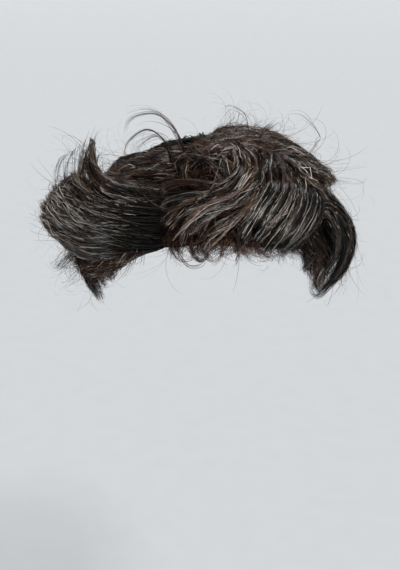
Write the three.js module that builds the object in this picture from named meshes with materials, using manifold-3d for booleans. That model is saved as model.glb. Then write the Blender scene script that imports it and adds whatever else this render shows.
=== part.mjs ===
// A short, wavy toupee as it sits on the top of a head: a thin domed foundation, and the
// hair knotted into it, in sections that each sweep their own way.
// Millimetres, +Z up. The face side is -Y, and +X is to the right seen from the face side.
// The origin is the point where the inside of the foundation rests on the crown.

import * as THREE from 'three';
import { mergeVertices } from 'three/addons/utils/BufferGeometryUtils.js';
import { ParametricGeometry } from 'three/addons/geometries/ParametricGeometry.js';
import Module from 'manifold-3d';

const wasm = await Module();
wasm.setup();

// The scalp that the foundation is shaped to
const SCALP_HALF_WIDTH = 75;
const SCALP_HALF_LENGTH = 95;
const SCALP_DOME = 78; // from the widest level up to the crown
const SCALP_SQUARENESS = 2.2; // exponent of the outline: 2 is an ellipse

// The foundation
const CAP_WALL = 1.5;
const RIM = { front: 70, side: 80, back: 95 }; // degrees down from the crown

// The hair
const HAIR_LIFT = 50; // the highest that a section stands off the scalp
const ROOT_BED = 4.5; // thickness of the dense layer of roots
const LOCK_DEPTH = 5.5; // half the thickness of a full lock
const LOCK_LEAST_WIDTH = 3.5; // half the width of the narrowest lock
const LOCK_OVERLAP = 0.62; // half width as a share of the distance between locks
const WISP = 1.3; // half the thickness of a thin curl that stands alone
const CLEARANCE = 0.35; // between neighbouring pieces

// How finely the faceted shapes are cut
const CAP_FACETS = { around: 24, down: 7 };
const LOCK_FACETS = { around: 5, along: 6 };
const DISC_FACETS = { around: 12, down: 2 };
const WISP_FACETS = { around: 4, along: 10 };
const BED_STEP = 14; // degrees

// Each point of a guide is [degrees around from the face, degrees down from the crown,
// lift off the scalp as a share of HAIR_LIFT]. A root lies on the foundation, so it has
// no lift. around grows from the middle of the forehead towards +X.
// A section's locks are spread evenly from its first guide to its last.
// bed gives the patch of the foundation that the section is knotted into, in degrees.
const SECTIONS = [
  {
    name: 'temple_wing',
    colour: 0x2a2523,
    bed: { from: -75, to: -17, top: 58, foot: 'rim' },
    locks: 5,
    guides: [
      { root: [-18, 68], rise: [-31, 74, 0.14], sweep: [-49, 83, 0.34], fall: [-60, 80, 0.72], tip: [-64, 73, 1.04] },
      { root: [-20, 65], rise: [-32, 70, 0.34], sweep: [-48, 74, 0.52], fall: [-59, 71, 0.86], tip: [-64, 65, 1.14] },
      { root: [-22, 62], rise: [-31, 66, 0.46], sweep: [-46, 67, 0.66], fall: [-57, 64, 0.92], tip: [-61, 60, 1.04] },
      { root: [-26, 60], rise: [-32, 62, 0.52], sweep: [-44, 60, 0.74], fall: [-53, 58, 0.92], tip: [-59, 57, 1.02] },
    ],
  },
  {
    name: 'quiff',
    colour: 0x3a2e28,
    bed: { from: -75, to: -17, top: 40, foot: 58 },
    locks: 3,
    guides: [
      { root: [-28, 55], rise: [-33, 59, 0.4], sweep: [-40, 57, 0.66], fall: [-48, 53, 0.9], tip: [-53, 47, 1.14] },
      { root: [-32, 50], rise: [-34, 53, 0.38], sweep: [-41, 53, 0.6], fall: [-49, 50, 0.86], tip: [-53, 45, 1.12] },
      { root: [-42, 46], rise: [-45, 48, 0.3], sweep: [-50, 49, 0.54], fall: [-54, 47, 0.8], tip: [-55, 43, 1.08] },
    ],
  },
  {
    name: 'centre_wave',
    colour: 0x332a26,
    bed: { from: 25, to: 52, top: 10, foot: 46 },
    locks: 5,
    guides: [
      { root: [28, 32], rise: [18, 42, 0.36], sweep: [2, 55, 0.5], fall: [-11, 60, 0.66], tip: [-17, 67, 0.5] },
      { root: [38, 28], rise: [26, 39, 0.36], sweep: [8, 53, 0.46], fall: [-9, 62, 0.58], tip: [-16, 72, 0.4] },
      { root: [42, 36], rise: [26, 49, 0.38], sweep: [11, 59, 0.48], fall: [-4, 65, 0.52], tip: [-9, 74, 0.34] },
      { root: [46, 40], rise: [26, 54, 0.42], sweep: [14, 62, 0.48], fall: [4, 68, 0.42], tip: [-2, 76, 0.26] },
    ],
    wisps: [
      { root: [44, 30], rise: [45, 29, 0.5], sweep: [49, 28, 0.6], fall: [52, 29, 0.7], tip: [56, 30, 0.8] },
    ],
  },
  {
    name: 'front_sheet',
    colour: 0x201d1c,
    bed: { from: 52, to: 66, top: 10, foot: 46 },
    locks: 5,
    guides: [
      { root: [54, 32], rise: [29, 52, 0.52], sweep: [18, 61, 0.54], fall: [12, 68, 0.42], tip: [8, 76, 0.24] },
      { root: [57, 36], rise: [37, 55, 0.56], sweep: [26, 63, 0.54], fall: [19, 70, 0.42], tip: [14, 77, 0.22] },
      { root: [60, 40], rise: [44, 57, 0.58], sweep: [34, 66, 0.54], fall: [27, 72, 0.42], tip: [22, 78, 0.22] },
      { root: [63, 44], rise: [51, 59, 0.58], sweep: [42, 68, 0.54], fall: [36, 74, 0.4], tip: [32, 79, 0.2] },
    ],
  },
  {
    name: 'side_curl',
    colour: 0x1f1b1a,
    bed: { from: 40, to: 95, top: 46, foot: 'rim' },
    locks: 5,
    guides: [
      { root: [46, 58], rise: [47, 65, 0.52], sweep: [51, 74, 0.6], fall: [54, 84, 0.46], tip: [57, 93, 0.2] },
      { root: [54, 54], rise: [53, 63, 0.6], sweep: [57, 73, 0.75], fall: [60, 87, 0.62], tip: [60, 101, 0.24] },
      { root: [68, 52], rise: [64, 62, 0.55], sweep: [67, 76, 0.74], fall: [67, 92, 0.63], tip: [66, 107, 0.26] },
      { root: [84, 50], rise: [80, 61, 0.44], sweep: [79, 76, 0.64], fall: [78, 93, 0.56], tip: [77, 108, 0.28] },
    ],
  },
  {
    name: 'fringe_curls',
    colour: 0x3a2620,
    bed: { from: -17, to: 40, top: 46, foot: 'rim' },
    locks: 6,
    thin: 0.5,
    guides: [
      { root: [-5, 66], rise: [-10, 68, 0.24], sweep: [-15, 72, 0.3], fall: [-16, 77, 0.2], tip: [-11, 80, 0.08] },
      { root: [3, 67], rise: [-3, 70, 0.2], sweep: [-8, 74, 0.18], fall: [-8, 78, 0.1], tip: [-4, 80, 0.06] },
      { root: [11, 67], rise: [6, 70, 0.18], sweep: [2, 74, 0.12], fall: [4, 78, 0.07], tip: [8, 79, 0.06] },
      { root: [24, 67], rise: [22, 71, 0.18], sweep: [23, 75, 0.12], fall: [27, 78, 0.07], tip: [31, 78, 0.06] },
      { root: [34, 66], rise: [34, 72, 0.16], sweep: [37, 76, 0.1], fall: [41, 78, 0.07], tip: [45, 78, 0.06] },
    ],
  },
  {
    name: 'crown_right',
    colour: 0x33302c,
    bed: { from: 66, to: 135, top: 10, foot: 46 },
    locks: 5,
    guides: [
      { root: [68, 38], rise: [59, 48, 0.56], sweep: [58, 54, 0.64], fall: [60, 59, 0.7], tip: [62, 64, 0.7] },
      { root: [70, 28], rise: [62, 38, 0.46], sweep: [63, 46, 0.58], fall: [66, 52, 0.66], tip: [68, 57, 0.74] },
      { root: [84, 20], rise: [85, 34, 0.34], sweep: [90, 46, 0.42], fall: [94, 57, 0.44], tip: [96, 68, 0.42] },
      { root: [126, 18], rise: [128, 34, 0.32], sweep: [129, 50, 0.4], fall: [130, 65, 0.44], tip: [131, 80, 0.44] },
    ],
  },
  {
    name: 'crown_top',
    colour: 0x3d2f28,
    bed: { from: -17, to: 25, top: 7, foot: 46 },
    disc: 10,
    locks: 5,
    guides: [
      { root: [-12, 43], rise: [-15, 40, 0.26], sweep: [-4, 36, 0.4], fall: [17, 34, 0.42], tip: [38, 35, 0.38] },
      { root: [-13, 32], rise: [-9, 27, 0.26], sweep: [22, 25, 0.36], fall: [49, 28, 0.4], tip: [69, 36, 0.42] },
      { root: [-12, 12], rise: [20, 8, 0.2], sweep: [60, 14, 0.3], fall: [80, 26, 0.36], tip: [90, 38, 0.44] },
      { root: [-70, 7], rise: [140, 6, 0.2], sweep: [116, 19, 0.28], fall: [110, 33, 0.36], tip: [107, 46, 0.4] },
    ],
    wisps: [
      { root: [-15, 36], rise: [-24, 30, 0.6], sweep: [-43, 27, 0.86], fall: [-60, 32, 0.88], tip: [-66, 37, 0.64] },
    ],
  },
  {
    name: 'crown_left',
    colour: 0x40322b,
    bed: { from: -75, to: -17, top: 10, foot: 40 },
    locks: 4,
    guides: [
      { root: [-22, 36], rise: [-37, 40, 0.18], sweep: [-50, 45, 0.28], fall: [-60, 51, 0.38], tip: [-68, 58, 0.44] },
      { root: [-26, 24], rise: [-46, 29, 0.14], sweep: [-66, 38, 0.24], fall: [-76, 46, 0.34], tip: [-82, 55, 0.38] },
      { root: [-50, 12], rise: [-80, 22, 0.12], sweep: [-92, 36, 0.2], fall: [-98, 49, 0.32], tip: [-101, 62, 0.38] },
    ],
    wisps: [
      { root: [-38, 30], rise: [-43, 28, 0.46], sweep: [-53, 30, 0.66], fall: [-60, 37, 0.62], tip: [-62, 42, 0.44] },
    ],
  },
  {
    name: 'left_side',
    colour: 0x2e2722,
    bed: { from: -120, to: -75, top: 10, foot: 'rim' },
    locks: 5,
    guides: [
      { root: [-78, 62], rise: [-80, 79, 0.3], sweep: [-83, 93, 0.34], fall: [-88, 106, 0.34], tip: [-92, 119, 0.34] },
      { root: [-84, 52], rise: [-88, 75, 0.28], sweep: [-96, 96, 0.28], fall: [-102, 111, 0.34], tip: [-106, 125, 0.28] },
      { root: [-94, 34], rise: [-99, 66, 0.32], sweep: [-107, 94, 0.32], fall: [-110, 109, 0.32], tip: [-111, 122, 0.2] },
      { root: [-112, 22], rise: [-114, 56, 0.34], sweep: [-118, 86, 0.38], fall: [-121, 104, 0.36], tip: [-124, 117, 0.34] },
    ],
  },
  {
    name: 'right_side',
    colour: 0x28221f,
    bed: { from: 95, to: 135, top: 46, foot: 'rim' },
    locks: 4,
    guides: [
      { root: [99, 56], rise: [98, 72, 0.4], sweep: [96, 87, 0.5], fall: [94, 99, 0.46], tip: [92, 109, 0.34] },
      { root: [112, 54], rise: [112, 72, 0.4], sweep: [112, 89, 0.46], fall: [111, 102, 0.44], tip: [109, 113, 0.36] },
      { root: [130, 52], rise: [131, 72, 0.4], sweep: [132, 89, 0.44], fall: [131, 102, 0.4], tip: [129, 113, 0.36] },
    ],
  },
  {
    name: 'back_hair',
    colour: 0x2c2521,
    bed: { from: 135, to: 240, top: 10, foot: 'rim' },
    locks: 9,
    guides: [
      { root: [137, 18], rise: [138, 50, 0.34], sweep: [141, 75, 0.42], fall: [142, 96, 0.38], tip: [141, 111, 0.4] },
      { root: [160, 16], rise: [163, 50, 0.3], sweep: [166, 76, 0.42], fall: [169, 97, 0.36], tip: [172, 112, 0.42] },
      { root: [185, 14], rise: [186, 50, 0.24], sweep: [188, 76, 0.38], fall: [191, 98, 0.34], tip: [195, 112, 0.4] },
      { root: [210, 16], rise: [210, 50, 0.18], sweep: [212, 76, 0.34], fall: [214, 98, 0.34], tip: [217, 112, 0.42] },
      { root: [237, 22], rise: [237, 52, 0.16], sweep: [236, 78, 0.34], fall: [235, 99, 0.36], tip: [232, 113, 0.4] },
    ],
  },
];

const radians = THREE.MathUtils.degToRad;
const power = (value, exponent) => Math.sign(value) * Math.abs(value) ** exponent;

// The point that stands off the scalp by lift, square to it. Below the widest level the
// head goes straight down.
function overScalp(around, down, lift) {
  const way = new THREE.Vector3(
    Math.sin(radians(down)) * Math.sin(radians(around)),
    -Math.sin(radians(down)) * Math.cos(radians(around)),
    Math.cos(radians(down)),
  );
  const half = new THREE.Vector3(SCALP_HALF_WIDTH, SCALP_HALF_LENGTH, SCALP_DOME);
  const share = way.clone().divide(half);
  if (way.z < 0) share.z = 0;
  const size = ['x', 'y', 'z'].reduce((sum, k) => sum + Math.abs(share[k]) ** SCALP_SQUARENESS, 0);
  const reach = size ** (-1 / SCALP_SQUARENESS);
  const out = new THREE.Vector3(
    power(share.x, SCALP_SQUARENESS - 1) / half.x,
    power(share.y, SCALP_SQUARENESS - 1) / half.y,
    power(share.z, SCALP_SQUARENESS - 1) / half.z,
  ).normalize();
  const point = way.multiplyScalar(reach).addScaledVector(out, lift);
  return point.setZ(point.z - SCALP_DOME);
}

// How far down the foundation reaches, in degrees, at an angle around
function rimDown(around) {
  const front = (1 + Math.cos(radians(around))) / 2;
  const side = Math.sin(radians(around)) ** 2;
  const ends = RIM.front * front + RIM.back * (1 - front);
  return ends * (1 - side) + RIM.side * side;
}

// Moves every vertex of a geometry to where place(x, y, z) puts it
function bend(geometry, place) {
  const position = geometry.attributes.position;
  for (let i = 0; i < position.count; i += 1) {
    const moved = place(position.getX(i), position.getY(i), position.getZ(i));
    position.setXYZ(i, moved.x, moved.y, moved.z);
  }
  return geometry;
}

// A closed geometry as a solid that can be joined and cut
function solidOf(geometry) {
  const bare = new THREE.BufferGeometry();
  bare.setAttribute('position', geometry.attributes.position);
  bare.setIndex(geometry.index);
  const merged = mergeVertices(bare, 1e-4);
  const corners = merged.index.array;
  const faces = [];
  for (let i = 0; i < corners.length; i += 3) {
    const [a, b, c] = corners.slice(i, i + 3);
    if (a !== b && b !== c && c !== a) faces.push(a, b, c);
  }
  const make = (triangles) => new wasm.Manifold(new wasm.Mesh({
    numProp: 3,
    vertProperties: new Float32Array(merged.attributes.position.array),
    triVerts: new Uint32Array(triangles),
  }));
  const solid = make(faces);
  return solid.volume() > 0 ? solid : make(faces.reverse());
}

// A whole dome over the scalp, from one lift to another, down to foot(around) degrees
function dome(inner, outer, foot, facets) {
  const rows = facets.down;
  const profile = [];
  for (let i = 0; i <= rows; i += 1) profile.push(new THREE.Vector2(i / rows, outer));
  for (let i = rows; i >= 0; i -= 1) profile.push(new THREE.Vector2(i / rows, inner));
  const turned = new THREE.LatheGeometry(profile, facets.around);
  return solidOf(bend(turned, (x, lift, z) => {
    const around = THREE.MathUtils.radToDeg(Math.atan2(x, z));
    return overScalp(around, Math.hypot(x, z) * foot(around), lift);
  }));
}

// Everything inside the hair: the foundation, the head below it, and a clearance. It has
// the foundation's own facets down to the rim, then two rows more.
function headSpace() {
  const deepest = 135; // degrees
  const rows = CAP_FACETS.down;
  const lift = CAP_WALL + CLEARANCE;
  const profile = [];
  for (let i = 0; i <= rows; i += 1) profile.push(new THREE.Vector2(i / rows, lift));
  profile.push(new THREE.Vector2(1.4, lift), new THREE.Vector2(2, lift), new THREE.Vector2(0, -1));
  const turned = new THREE.LatheGeometry(profile, CAP_FACETS.around);
  const floor = overScalp(0, deepest, lift).z;
  return solidOf(bend(turned, (x, height, z) => {
    if (height < 0) return new THREE.Vector3(0, 0, floor);
    const around = THREE.MathUtils.radToDeg(Math.atan2(x, z));
    const share = Math.hypot(x, z);
    const rim = rimDown(around);
    const down = share <= 1 ? share * rim : THREE.MathUtils.lerp(rim, deepest, share - 1);
    return overScalp(around, down, height);
  }));
}

// The patch of dense roots that a section's locks grow from
function rootBed(bed, grow) {
  const columns = Math.max(2, Math.round((bed.to - bed.from) / BED_STEP));
  const rows = Math.max(2, Math.round((rimDown(bed.to) - bed.top) / BED_STEP));
  const spread = new THREE.BoxGeometry(1, 1, 1, columns, rows, 1);
  return solidOf(bend(spread, (x, y, z) => {
    const around = THREE.MathUtils.lerp(bed.from, bed.to, x + 0.5);
    const foot = bed.foot === 'rim' ? rimDown(around) : bed.foot;
    const down = THREE.MathUtils.lerp(bed.top, foot, 0.5 - y);
    const lift = CAP_WALL + (z > 0 ? ROOT_BED + grow : -1 - grow);
    const edge = THREE.MathUtils.radToDeg(grow / SCALP_HALF_WIDTH);
    const wider = edge / Math.sin(radians(Math.max(down, 8)));
    return overScalp(around + Math.sign(x) * wider * (Math.abs(x) > 0.49 ? 1 : 0),
      down - Math.sign(y) * edge * (Math.abs(y) > 0.49 ? 1 : 0), lift);
  }));
}

const GUIDE_POINTS = ['root', 'rise', 'sweep', 'fall', 'tip'];

// A guide's five points in space, joined by a smooth curve
function guideCurve(guide) {
  const onBed = (CAP_WALL + ROOT_BED / 2) / HAIR_LIFT;
  const points = GUIDE_POINTS.map((key) => {
    const [around, down, lift = onBed] = guide[key];
    return overScalp(around, down, lift * HAIR_LIFT);
  });
  return new THREE.CatmullRomCurve3(points, false, 'catmullrom', 0.5);
}

// The point at a share across the section, from its first guide to its last, and a share
// along the hair from root to tip
function sheetPoint(curves, across, along) {
  const place = THREE.MathUtils.clamp(across, 0, 1) * (curves.length - 1);
  const first = Math.min(Math.floor(place), Math.max(curves.length - 2, 0));
  const run = THREE.MathUtils.clamp(along, 0, 1);
  const from = curves[first].getPoint(run);
  if (curves.length === 1) return from;
  return from.lerp(curves[first + 1].getPoint(run), place - first);
}

// Fullness along a lock: slimmer at the root, full in the middle, pointed at the tip
const fullness = (along) => (0.6 + 0.4 * Math.sin(Math.PI * along)) * Math.sqrt(1 - along ** 6);

// One lock: a closed body whose flattened section follows the sheet of hair, with its
// rows closer together towards the tip
function lock(curves, across, width, depth, facets, reach) {
  const step = 0.02;
  const place = (turn, run, target) => {
    const share = (run + Math.sin((run * Math.PI) / 2)) / 2;
    const along = share * reach;
    const centre = sheetPoint(curves, across, along);
    const ahead = sheetPoint(curves, across, along + step).sub(
      sheetPoint(curves, across, along - step)).normalize();
    const wide = curves.length > 1
      ? sheetPoint(curves, across + step, along).sub(sheetPoint(curves, across - step, along))
      : new THREE.Vector3(0, 0, 1).cross(ahead);
    const thick = wide.cross(ahead).normalize();
    const side = ahead.clone().cross(thick).normalize();
    const full = run === 0 || run === 1 ? 0 : fullness(share);
    const angle = turn * 2 * Math.PI;
    target.copy(centre)
      .addScaledVector(side, Math.cos(angle) * width(along) * full)
      .addScaledVector(thick, Math.sin(angle) * depth * full);
  };
  return solidOf(new ParametricGeometry(place, facets.around, facets.along));
}

// A section's locks, from its first guide to its last
function sectionLocks(section, grow) {
  const curves = section.guides.map(guideCurve);
  const thin = section.thin ?? 1;
  const bodies = [];
  for (let i = 0; i < section.locks; i += 1) {
    const across = i / (section.locks - 1);
    const gap = (curves.length - 1) / (section.locks - 1);
    const width = (along) => {
      const first = sheetPoint(curves, across - 0.05, along);
      const last = sheetPoint(curves, across + 0.05, along);
      const inside = Math.min(across + 0.05, 1) - Math.max(across - 0.05, 0);
      const apart = first.distanceTo(last) / inside / (section.locks - 1);
      return Math.max(apart * LOCK_OVERLAP, LOCK_LEAST_WIDTH) * thin + grow;
    };
    const reach = 1 - 0.06 * (i % 2) - 0.03 * (i % 3) * gap;
    const depth = LOCK_DEPTH * thin * (i % 2 ? 0.8 : 1) + grow;
    bodies.push(lock(curves, across, width, depth, LOCK_FACETS, reach));
  }
  for (const wisp of section.wisps ?? []) {
    const curve = [guideCurve(wisp)];
    bodies.push(lock(curve, 0, () => WISP + grow, WISP + grow, WISP_FACETS, 1));
  }
  return bodies;
}

// A section's bed and locks as one solid, grown all round by grow
function sectionBody(section, grow) {
  const bodies = [rootBed(section.bed, grow), ...sectionLocks(section, grow)];
  if (section.disc) {
    const edge = section.disc + THREE.MathUtils.radToDeg(grow / SCALP_HALF_WIDTH);
    bodies.push(dome(CAP_WALL - 1 - grow, CAP_WALL + ROOT_BED + grow, () => edge, DISC_FACETS));
  }
  return wasm.Manifold.union(bodies);
}

// The largest of the separate bodies in a solid
function mainBody(solid) {
  return solid.decompose().reduce((best, body) => (body.volume() > best.volume() ? body : best));
}

function meshOf(name, solid, colour) {
  const { vertProperties, triVerts } = solid.getMesh();
  const geometry = new THREE.BufferGeometry();
  geometry.setAttribute('position', new THREE.BufferAttribute(new Float32Array(vertProperties), 3));
  geometry.setIndex(new THREE.BufferAttribute(new Uint32Array(triVerts), 1));
  geometry.computeVertexNormals();
  const material = new THREE.MeshStandardMaterial({ color: colour, roughness: 0.45, metalness: 0 });
  const mesh = new THREE.Mesh(geometry, material);
  mesh.name = name;
  return mesh;
}

const toupee = new THREE.Group();
toupee.add(meshOf('base_cap', dome(0, CAP_WALL, rimDown, CAP_FACETS), 0x3b302a));

let taken = headSpace();
for (const section of SECTIONS) {
  const body = mainBody(sectionBody(section, 0).subtract(taken));
  toupee.add(meshOf(section.name, body, section.colour));
  taken = taken.add(sectionBody(section, CLEARANCE));
}

export default toupee;
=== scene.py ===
"""A short wavy toupee: a net foundation and the hair knotted into it, section by section.

Metres, +Z up, the face side is -Y. The origin is where the foundation rests on the crown.
"""

import logging
import math
from dataclasses import dataclass, field
from enum import Enum

import bpy
import numpy as np
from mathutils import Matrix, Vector


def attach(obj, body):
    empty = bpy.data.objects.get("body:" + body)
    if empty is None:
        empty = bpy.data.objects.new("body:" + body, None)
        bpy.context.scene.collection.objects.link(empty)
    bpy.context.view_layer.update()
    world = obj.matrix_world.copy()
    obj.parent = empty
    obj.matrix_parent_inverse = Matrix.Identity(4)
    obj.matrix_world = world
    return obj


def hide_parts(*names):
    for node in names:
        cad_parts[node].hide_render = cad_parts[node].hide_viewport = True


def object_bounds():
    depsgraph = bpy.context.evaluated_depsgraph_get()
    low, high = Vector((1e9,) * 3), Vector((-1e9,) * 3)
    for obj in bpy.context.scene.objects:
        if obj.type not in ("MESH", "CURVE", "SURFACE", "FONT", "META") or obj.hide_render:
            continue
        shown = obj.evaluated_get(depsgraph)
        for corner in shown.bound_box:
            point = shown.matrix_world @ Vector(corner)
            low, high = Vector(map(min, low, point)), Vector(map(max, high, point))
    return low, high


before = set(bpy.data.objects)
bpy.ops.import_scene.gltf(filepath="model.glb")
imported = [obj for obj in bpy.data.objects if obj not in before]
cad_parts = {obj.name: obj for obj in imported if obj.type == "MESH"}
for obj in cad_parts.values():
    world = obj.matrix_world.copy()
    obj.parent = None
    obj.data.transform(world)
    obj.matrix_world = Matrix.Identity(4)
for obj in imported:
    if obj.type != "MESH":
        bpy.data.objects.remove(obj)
CAD_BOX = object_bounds()

LOG = logging.getLogger("toupee")
MM = 0.001
TURN = 2 * math.pi
BAKE_MAP = "OFBake"

Array = np.ndarray
Random = np.random.Generator
Material = bpy.types.Material
Node = bpy.types.Node
NodeTree = bpy.types.NodeTree
Piece = bpy.types.Object
Point2 = tuple[float, float]
Point3 = tuple[float, float, float]
Stops = tuple[tuple[float, str], ...]
Tones = tuple[float, float, float, float]  # shares of Tone, in its order
Guide = tuple[float, ...]  # around and down at the root, then around, down and lift in mm


def linear(code: str) -> tuple[float, float, float, float]:
    """Turns an sRGB hex colour to linear.

    Args:
        code: The colour as "#rrggbb".

    Returns:
        Linear red, green and blue, and an alpha of 1.
    """
    parts = [int(code[i : i + 2], 16) / 255 for i in (1, 3, 5)]
    made = [p / 12.92 if p <= 0.04045 else ((p + 0.055) / 1.055) ** 2.4 for p in parts]
    return (made[0], made[1], made[2], 1.0)


def add_node(
    tree: NodeTree,
    kind: str,
    settings: dict[str, object] | None = None,
    sockets: dict[str | int, object] | None = None,
) -> Node:
    """Adds a node, sets it up and links it.

    Args:
        tree: The tree that gets the node.
        kind: The node's type, such as "ShaderNodeMix".
        settings: The node's own settings by name.
        sockets: Input sockets by name or number, each with a value or an output to link.

    Returns:
        The new node.
    """
    node = tree.nodes.new(kind)
    for name, value in (settings or {}).items():
        setattr(node, name, value)
    for key, value in (sockets or {}).items():
        if isinstance(value, bpy.types.NodeSocket):
            tree.links.new(value, node.inputs[key])
        else:
            node.inputs[key].default_value = value
    return node


def set_stops(ramp: Node, stops: Stops) -> None:
    """Gives a colour ramp its stops.

    Args:
        ramp: The Color Ramp node.
        stops: Places from 0 to 1, each with an sRGB hex colour.
    """
    elements = ramp.color_ramp.elements
    while len(elements) < len(stops):
        elements.new(1.0)
    for element, (place, code) in zip(elements, stops, strict=True):
        element.position = place
        element.color = linear(code)


def smooth(x: Array | float) -> Array:
    """Rises smoothly from 0 to 1 as x does."""
    x = np.clip(x, 0.0, 1.0)
    return x * x * (3 - 2 * x)


def unit(v: Array) -> Array:
    """Vectors of length 1 along the last axis."""
    return v / np.maximum(np.linalg.norm(v, axis=-1, keepdims=True), 1e-12)


def turned(out: Array, side: Array, angle: Array) -> Array:
    """The ways that strips face when they turn sideways by an angle."""
    return out * np.cos(angle) + side * np.sin(angle)


def spline(knots: Array, at: Array) -> Array:
    """Follows smooth curves through knots.

    Args:
        knots: (..., K, D) points that each curve passes through.
        at: (T,) shares of the way along, from 0 to 1.

    Returns:
        (..., T, D) points on the curves.
    """
    spans = knots.shape[-2] - 1
    first = 2 * knots[..., :1, :] - knots[..., 1:2, :]
    last = 2 * knots[..., -1:, :] - knots[..., -2:-1, :]
    padded = np.concatenate([first, knots, last], axis=-2)
    span = np.clip(np.floor(at * spans), 0, spans - 1).astype(int)
    u = (at * spans - span)[:, None]
    a, b, c, d = (padded[..., span + k, :] for k in range(4))
    return (
        2 * b + (c - a) * u + (2 * a - 5 * b + 4 * c - d) * u**2 + (3 * b - a - 3 * c + d) * u**3
    ) / 2


def nearest(places: Array, groups: float, rng: Random) -> tuple[Array, Array]:
    """Puts places in groups of uneven size.

    Args:
        places: (N,) shares from 0 to 1.
        groups: How many groups.
        rng: The source of chance.

    Returns:
        (N,) the middle of each place's group, and the group's number.
    """
    total = max(int(round(groups)), 1)
    middles = (np.arange(total) + 0.5 + rng.uniform(-0.35, 0.35, total)) / total
    borders = (middles[1:] + middles[:-1]) / 2
    number = np.searchsorted(borders, places)
    return middles[number], number


def grid_faces(columns: int, rows: int, base: int = 0, flip: bool = False) -> Array:
    """Joins a grid of vertices by four-sided faces.

    Args:
        columns: How many columns of vertices.
        rows: How many vertices in a column.
        base: The number of the grid's first vertex.
        flip: Whether the faces look the other way.

    Returns:
        (F, 4) the faces' corners.
    """
    grid = base + np.arange(columns * rows).reshape(columns, rows)
    corners = [grid[:-1, :-1], grid[1:, :-1], grid[1:, 1:], grid[:-1, 1:]]
    faces = np.stack(corners, -1).reshape(-1, 4)
    return faces[:, [0, 3, 2, 1]] if flip else faces


def mesh_piece(name: str, points: Array, faces: Array, maps: Array, material: Material) -> Piece:
    """Makes a piece from arrays.

    Args:
        name: The piece's name.
        points: (..., 3) vertices.
        faces: (F, 4) corners of four-sided faces.
        maps: (..., 2) the place of each vertex on the map.
        material: The piece's material.

    Returns:
        The piece, smooth shaded.
    """
    points, maps = points.reshape(-1, 3), maps.reshape(-1, 2)
    mesh = bpy.data.meshes.new(name)
    mesh.vertices.add(len(points))
    mesh.vertices.foreach_set("co", points.astype(np.float32).ravel())
    mesh.loops.add(faces.size)
    mesh.loops.foreach_set("vertex_index", faces.astype(np.int32).ravel())
    mesh.polygons.add(len(faces))
    mesh.polygons.foreach_set("loop_start", np.arange(0, faces.size, 4, dtype=np.int32))
    layer = mesh.uv_layers.new(name=BAKE_MAP)
    layer.data.foreach_set("uv", maps[faces.ravel()].astype(np.float32).ravel())
    mesh.materials.append(material)
    mesh.update(calc_edges=True)
    mesh.shade_smooth()
    piece = bpy.data.objects.new(name, mesh)
    bpy.context.scene.collection.objects.link(piece)
    return piece


def stand_for(piece: Piece, node: str) -> Piece:
    """Says what a piece stands for, and reports it.

    Args:
        piece: The piece, which rides on the part's only body.
        node: The node that it replaces.

    Returns:
        The piece.
    """
    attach(piece, "root")
    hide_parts(node)
    LOG.info("%s: %d faces", piece.name, len(piece.data.polygons))
    return piece


class Tone(Enum):
    """The colours that the hair is blended from, as (first, last) shade columns."""

    JET = (0, 31)
    # brown is partly the hair's dye and partly painted light: thin hair at the crown glowing brown where
    # light shines through it
    BROWN = (32, 44)
    GREY = (45, 54)
    # auburn is partly painted light: where it has a large share it stands for the warm glow of the skin below
    # showing through thin hair
    AUBURN = (55, 63)


SHADES = 64  # columns of the hair's map


@dataclass(frozen=True)
class Finish:
    """What the real materials have in common."""

    name: str = "plain"
    roughness: float = 0.5
    ior: float = 1.5
    specular: float = 0.5

    def make(self) -> Material:
        """Makes the material.

        Returns:
            The material, with its pattern.
        """
        material = bpy.data.materials.new(self.name)
        material.use_nodes = True
        tree = material.node_tree
        tree.nodes.clear()
        shader = add_node(tree, "ShaderNodeBsdfPrincipled")
        add_node(tree, "ShaderNodeOutputMaterial", sockets={"Surface": shader.outputs[0]})
        shader.inputs["Roughness"].default_value = self.roughness
        shader.inputs["IOR"].default_value = self.ior
        shader.inputs["Specular IOR Level"].default_value = self.specular
        self.pattern(tree, shader)
        return material

    def pattern(self, tree: NodeTree, shader: Node) -> None:
        """Gives the shader its colour and relief."""

    def relief(self, tree: NodeTree, shader: Node, height: Node, strength: float, deep_mm: float) -> None:
        """Gives the shader a bump.

        Args:
            tree: The material's tree.
            shader: Its Principled BSDF.
            height: The node whose first output is the relief's height.
            strength: The bump's strength, below 0 where what is high is to look low.
            deep_mm: How deep the relief is.
        """
        bump = add_node(
            tree,
            "ShaderNodeBump",
            {"invert": strength < 0},
            {"Height": height.outputs[0], "Strength": abs(strength), "Distance": deep_mm * MM},
        )
        tree.links.new(bump.outputs[0], shader.inputs["Normal"])


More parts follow.
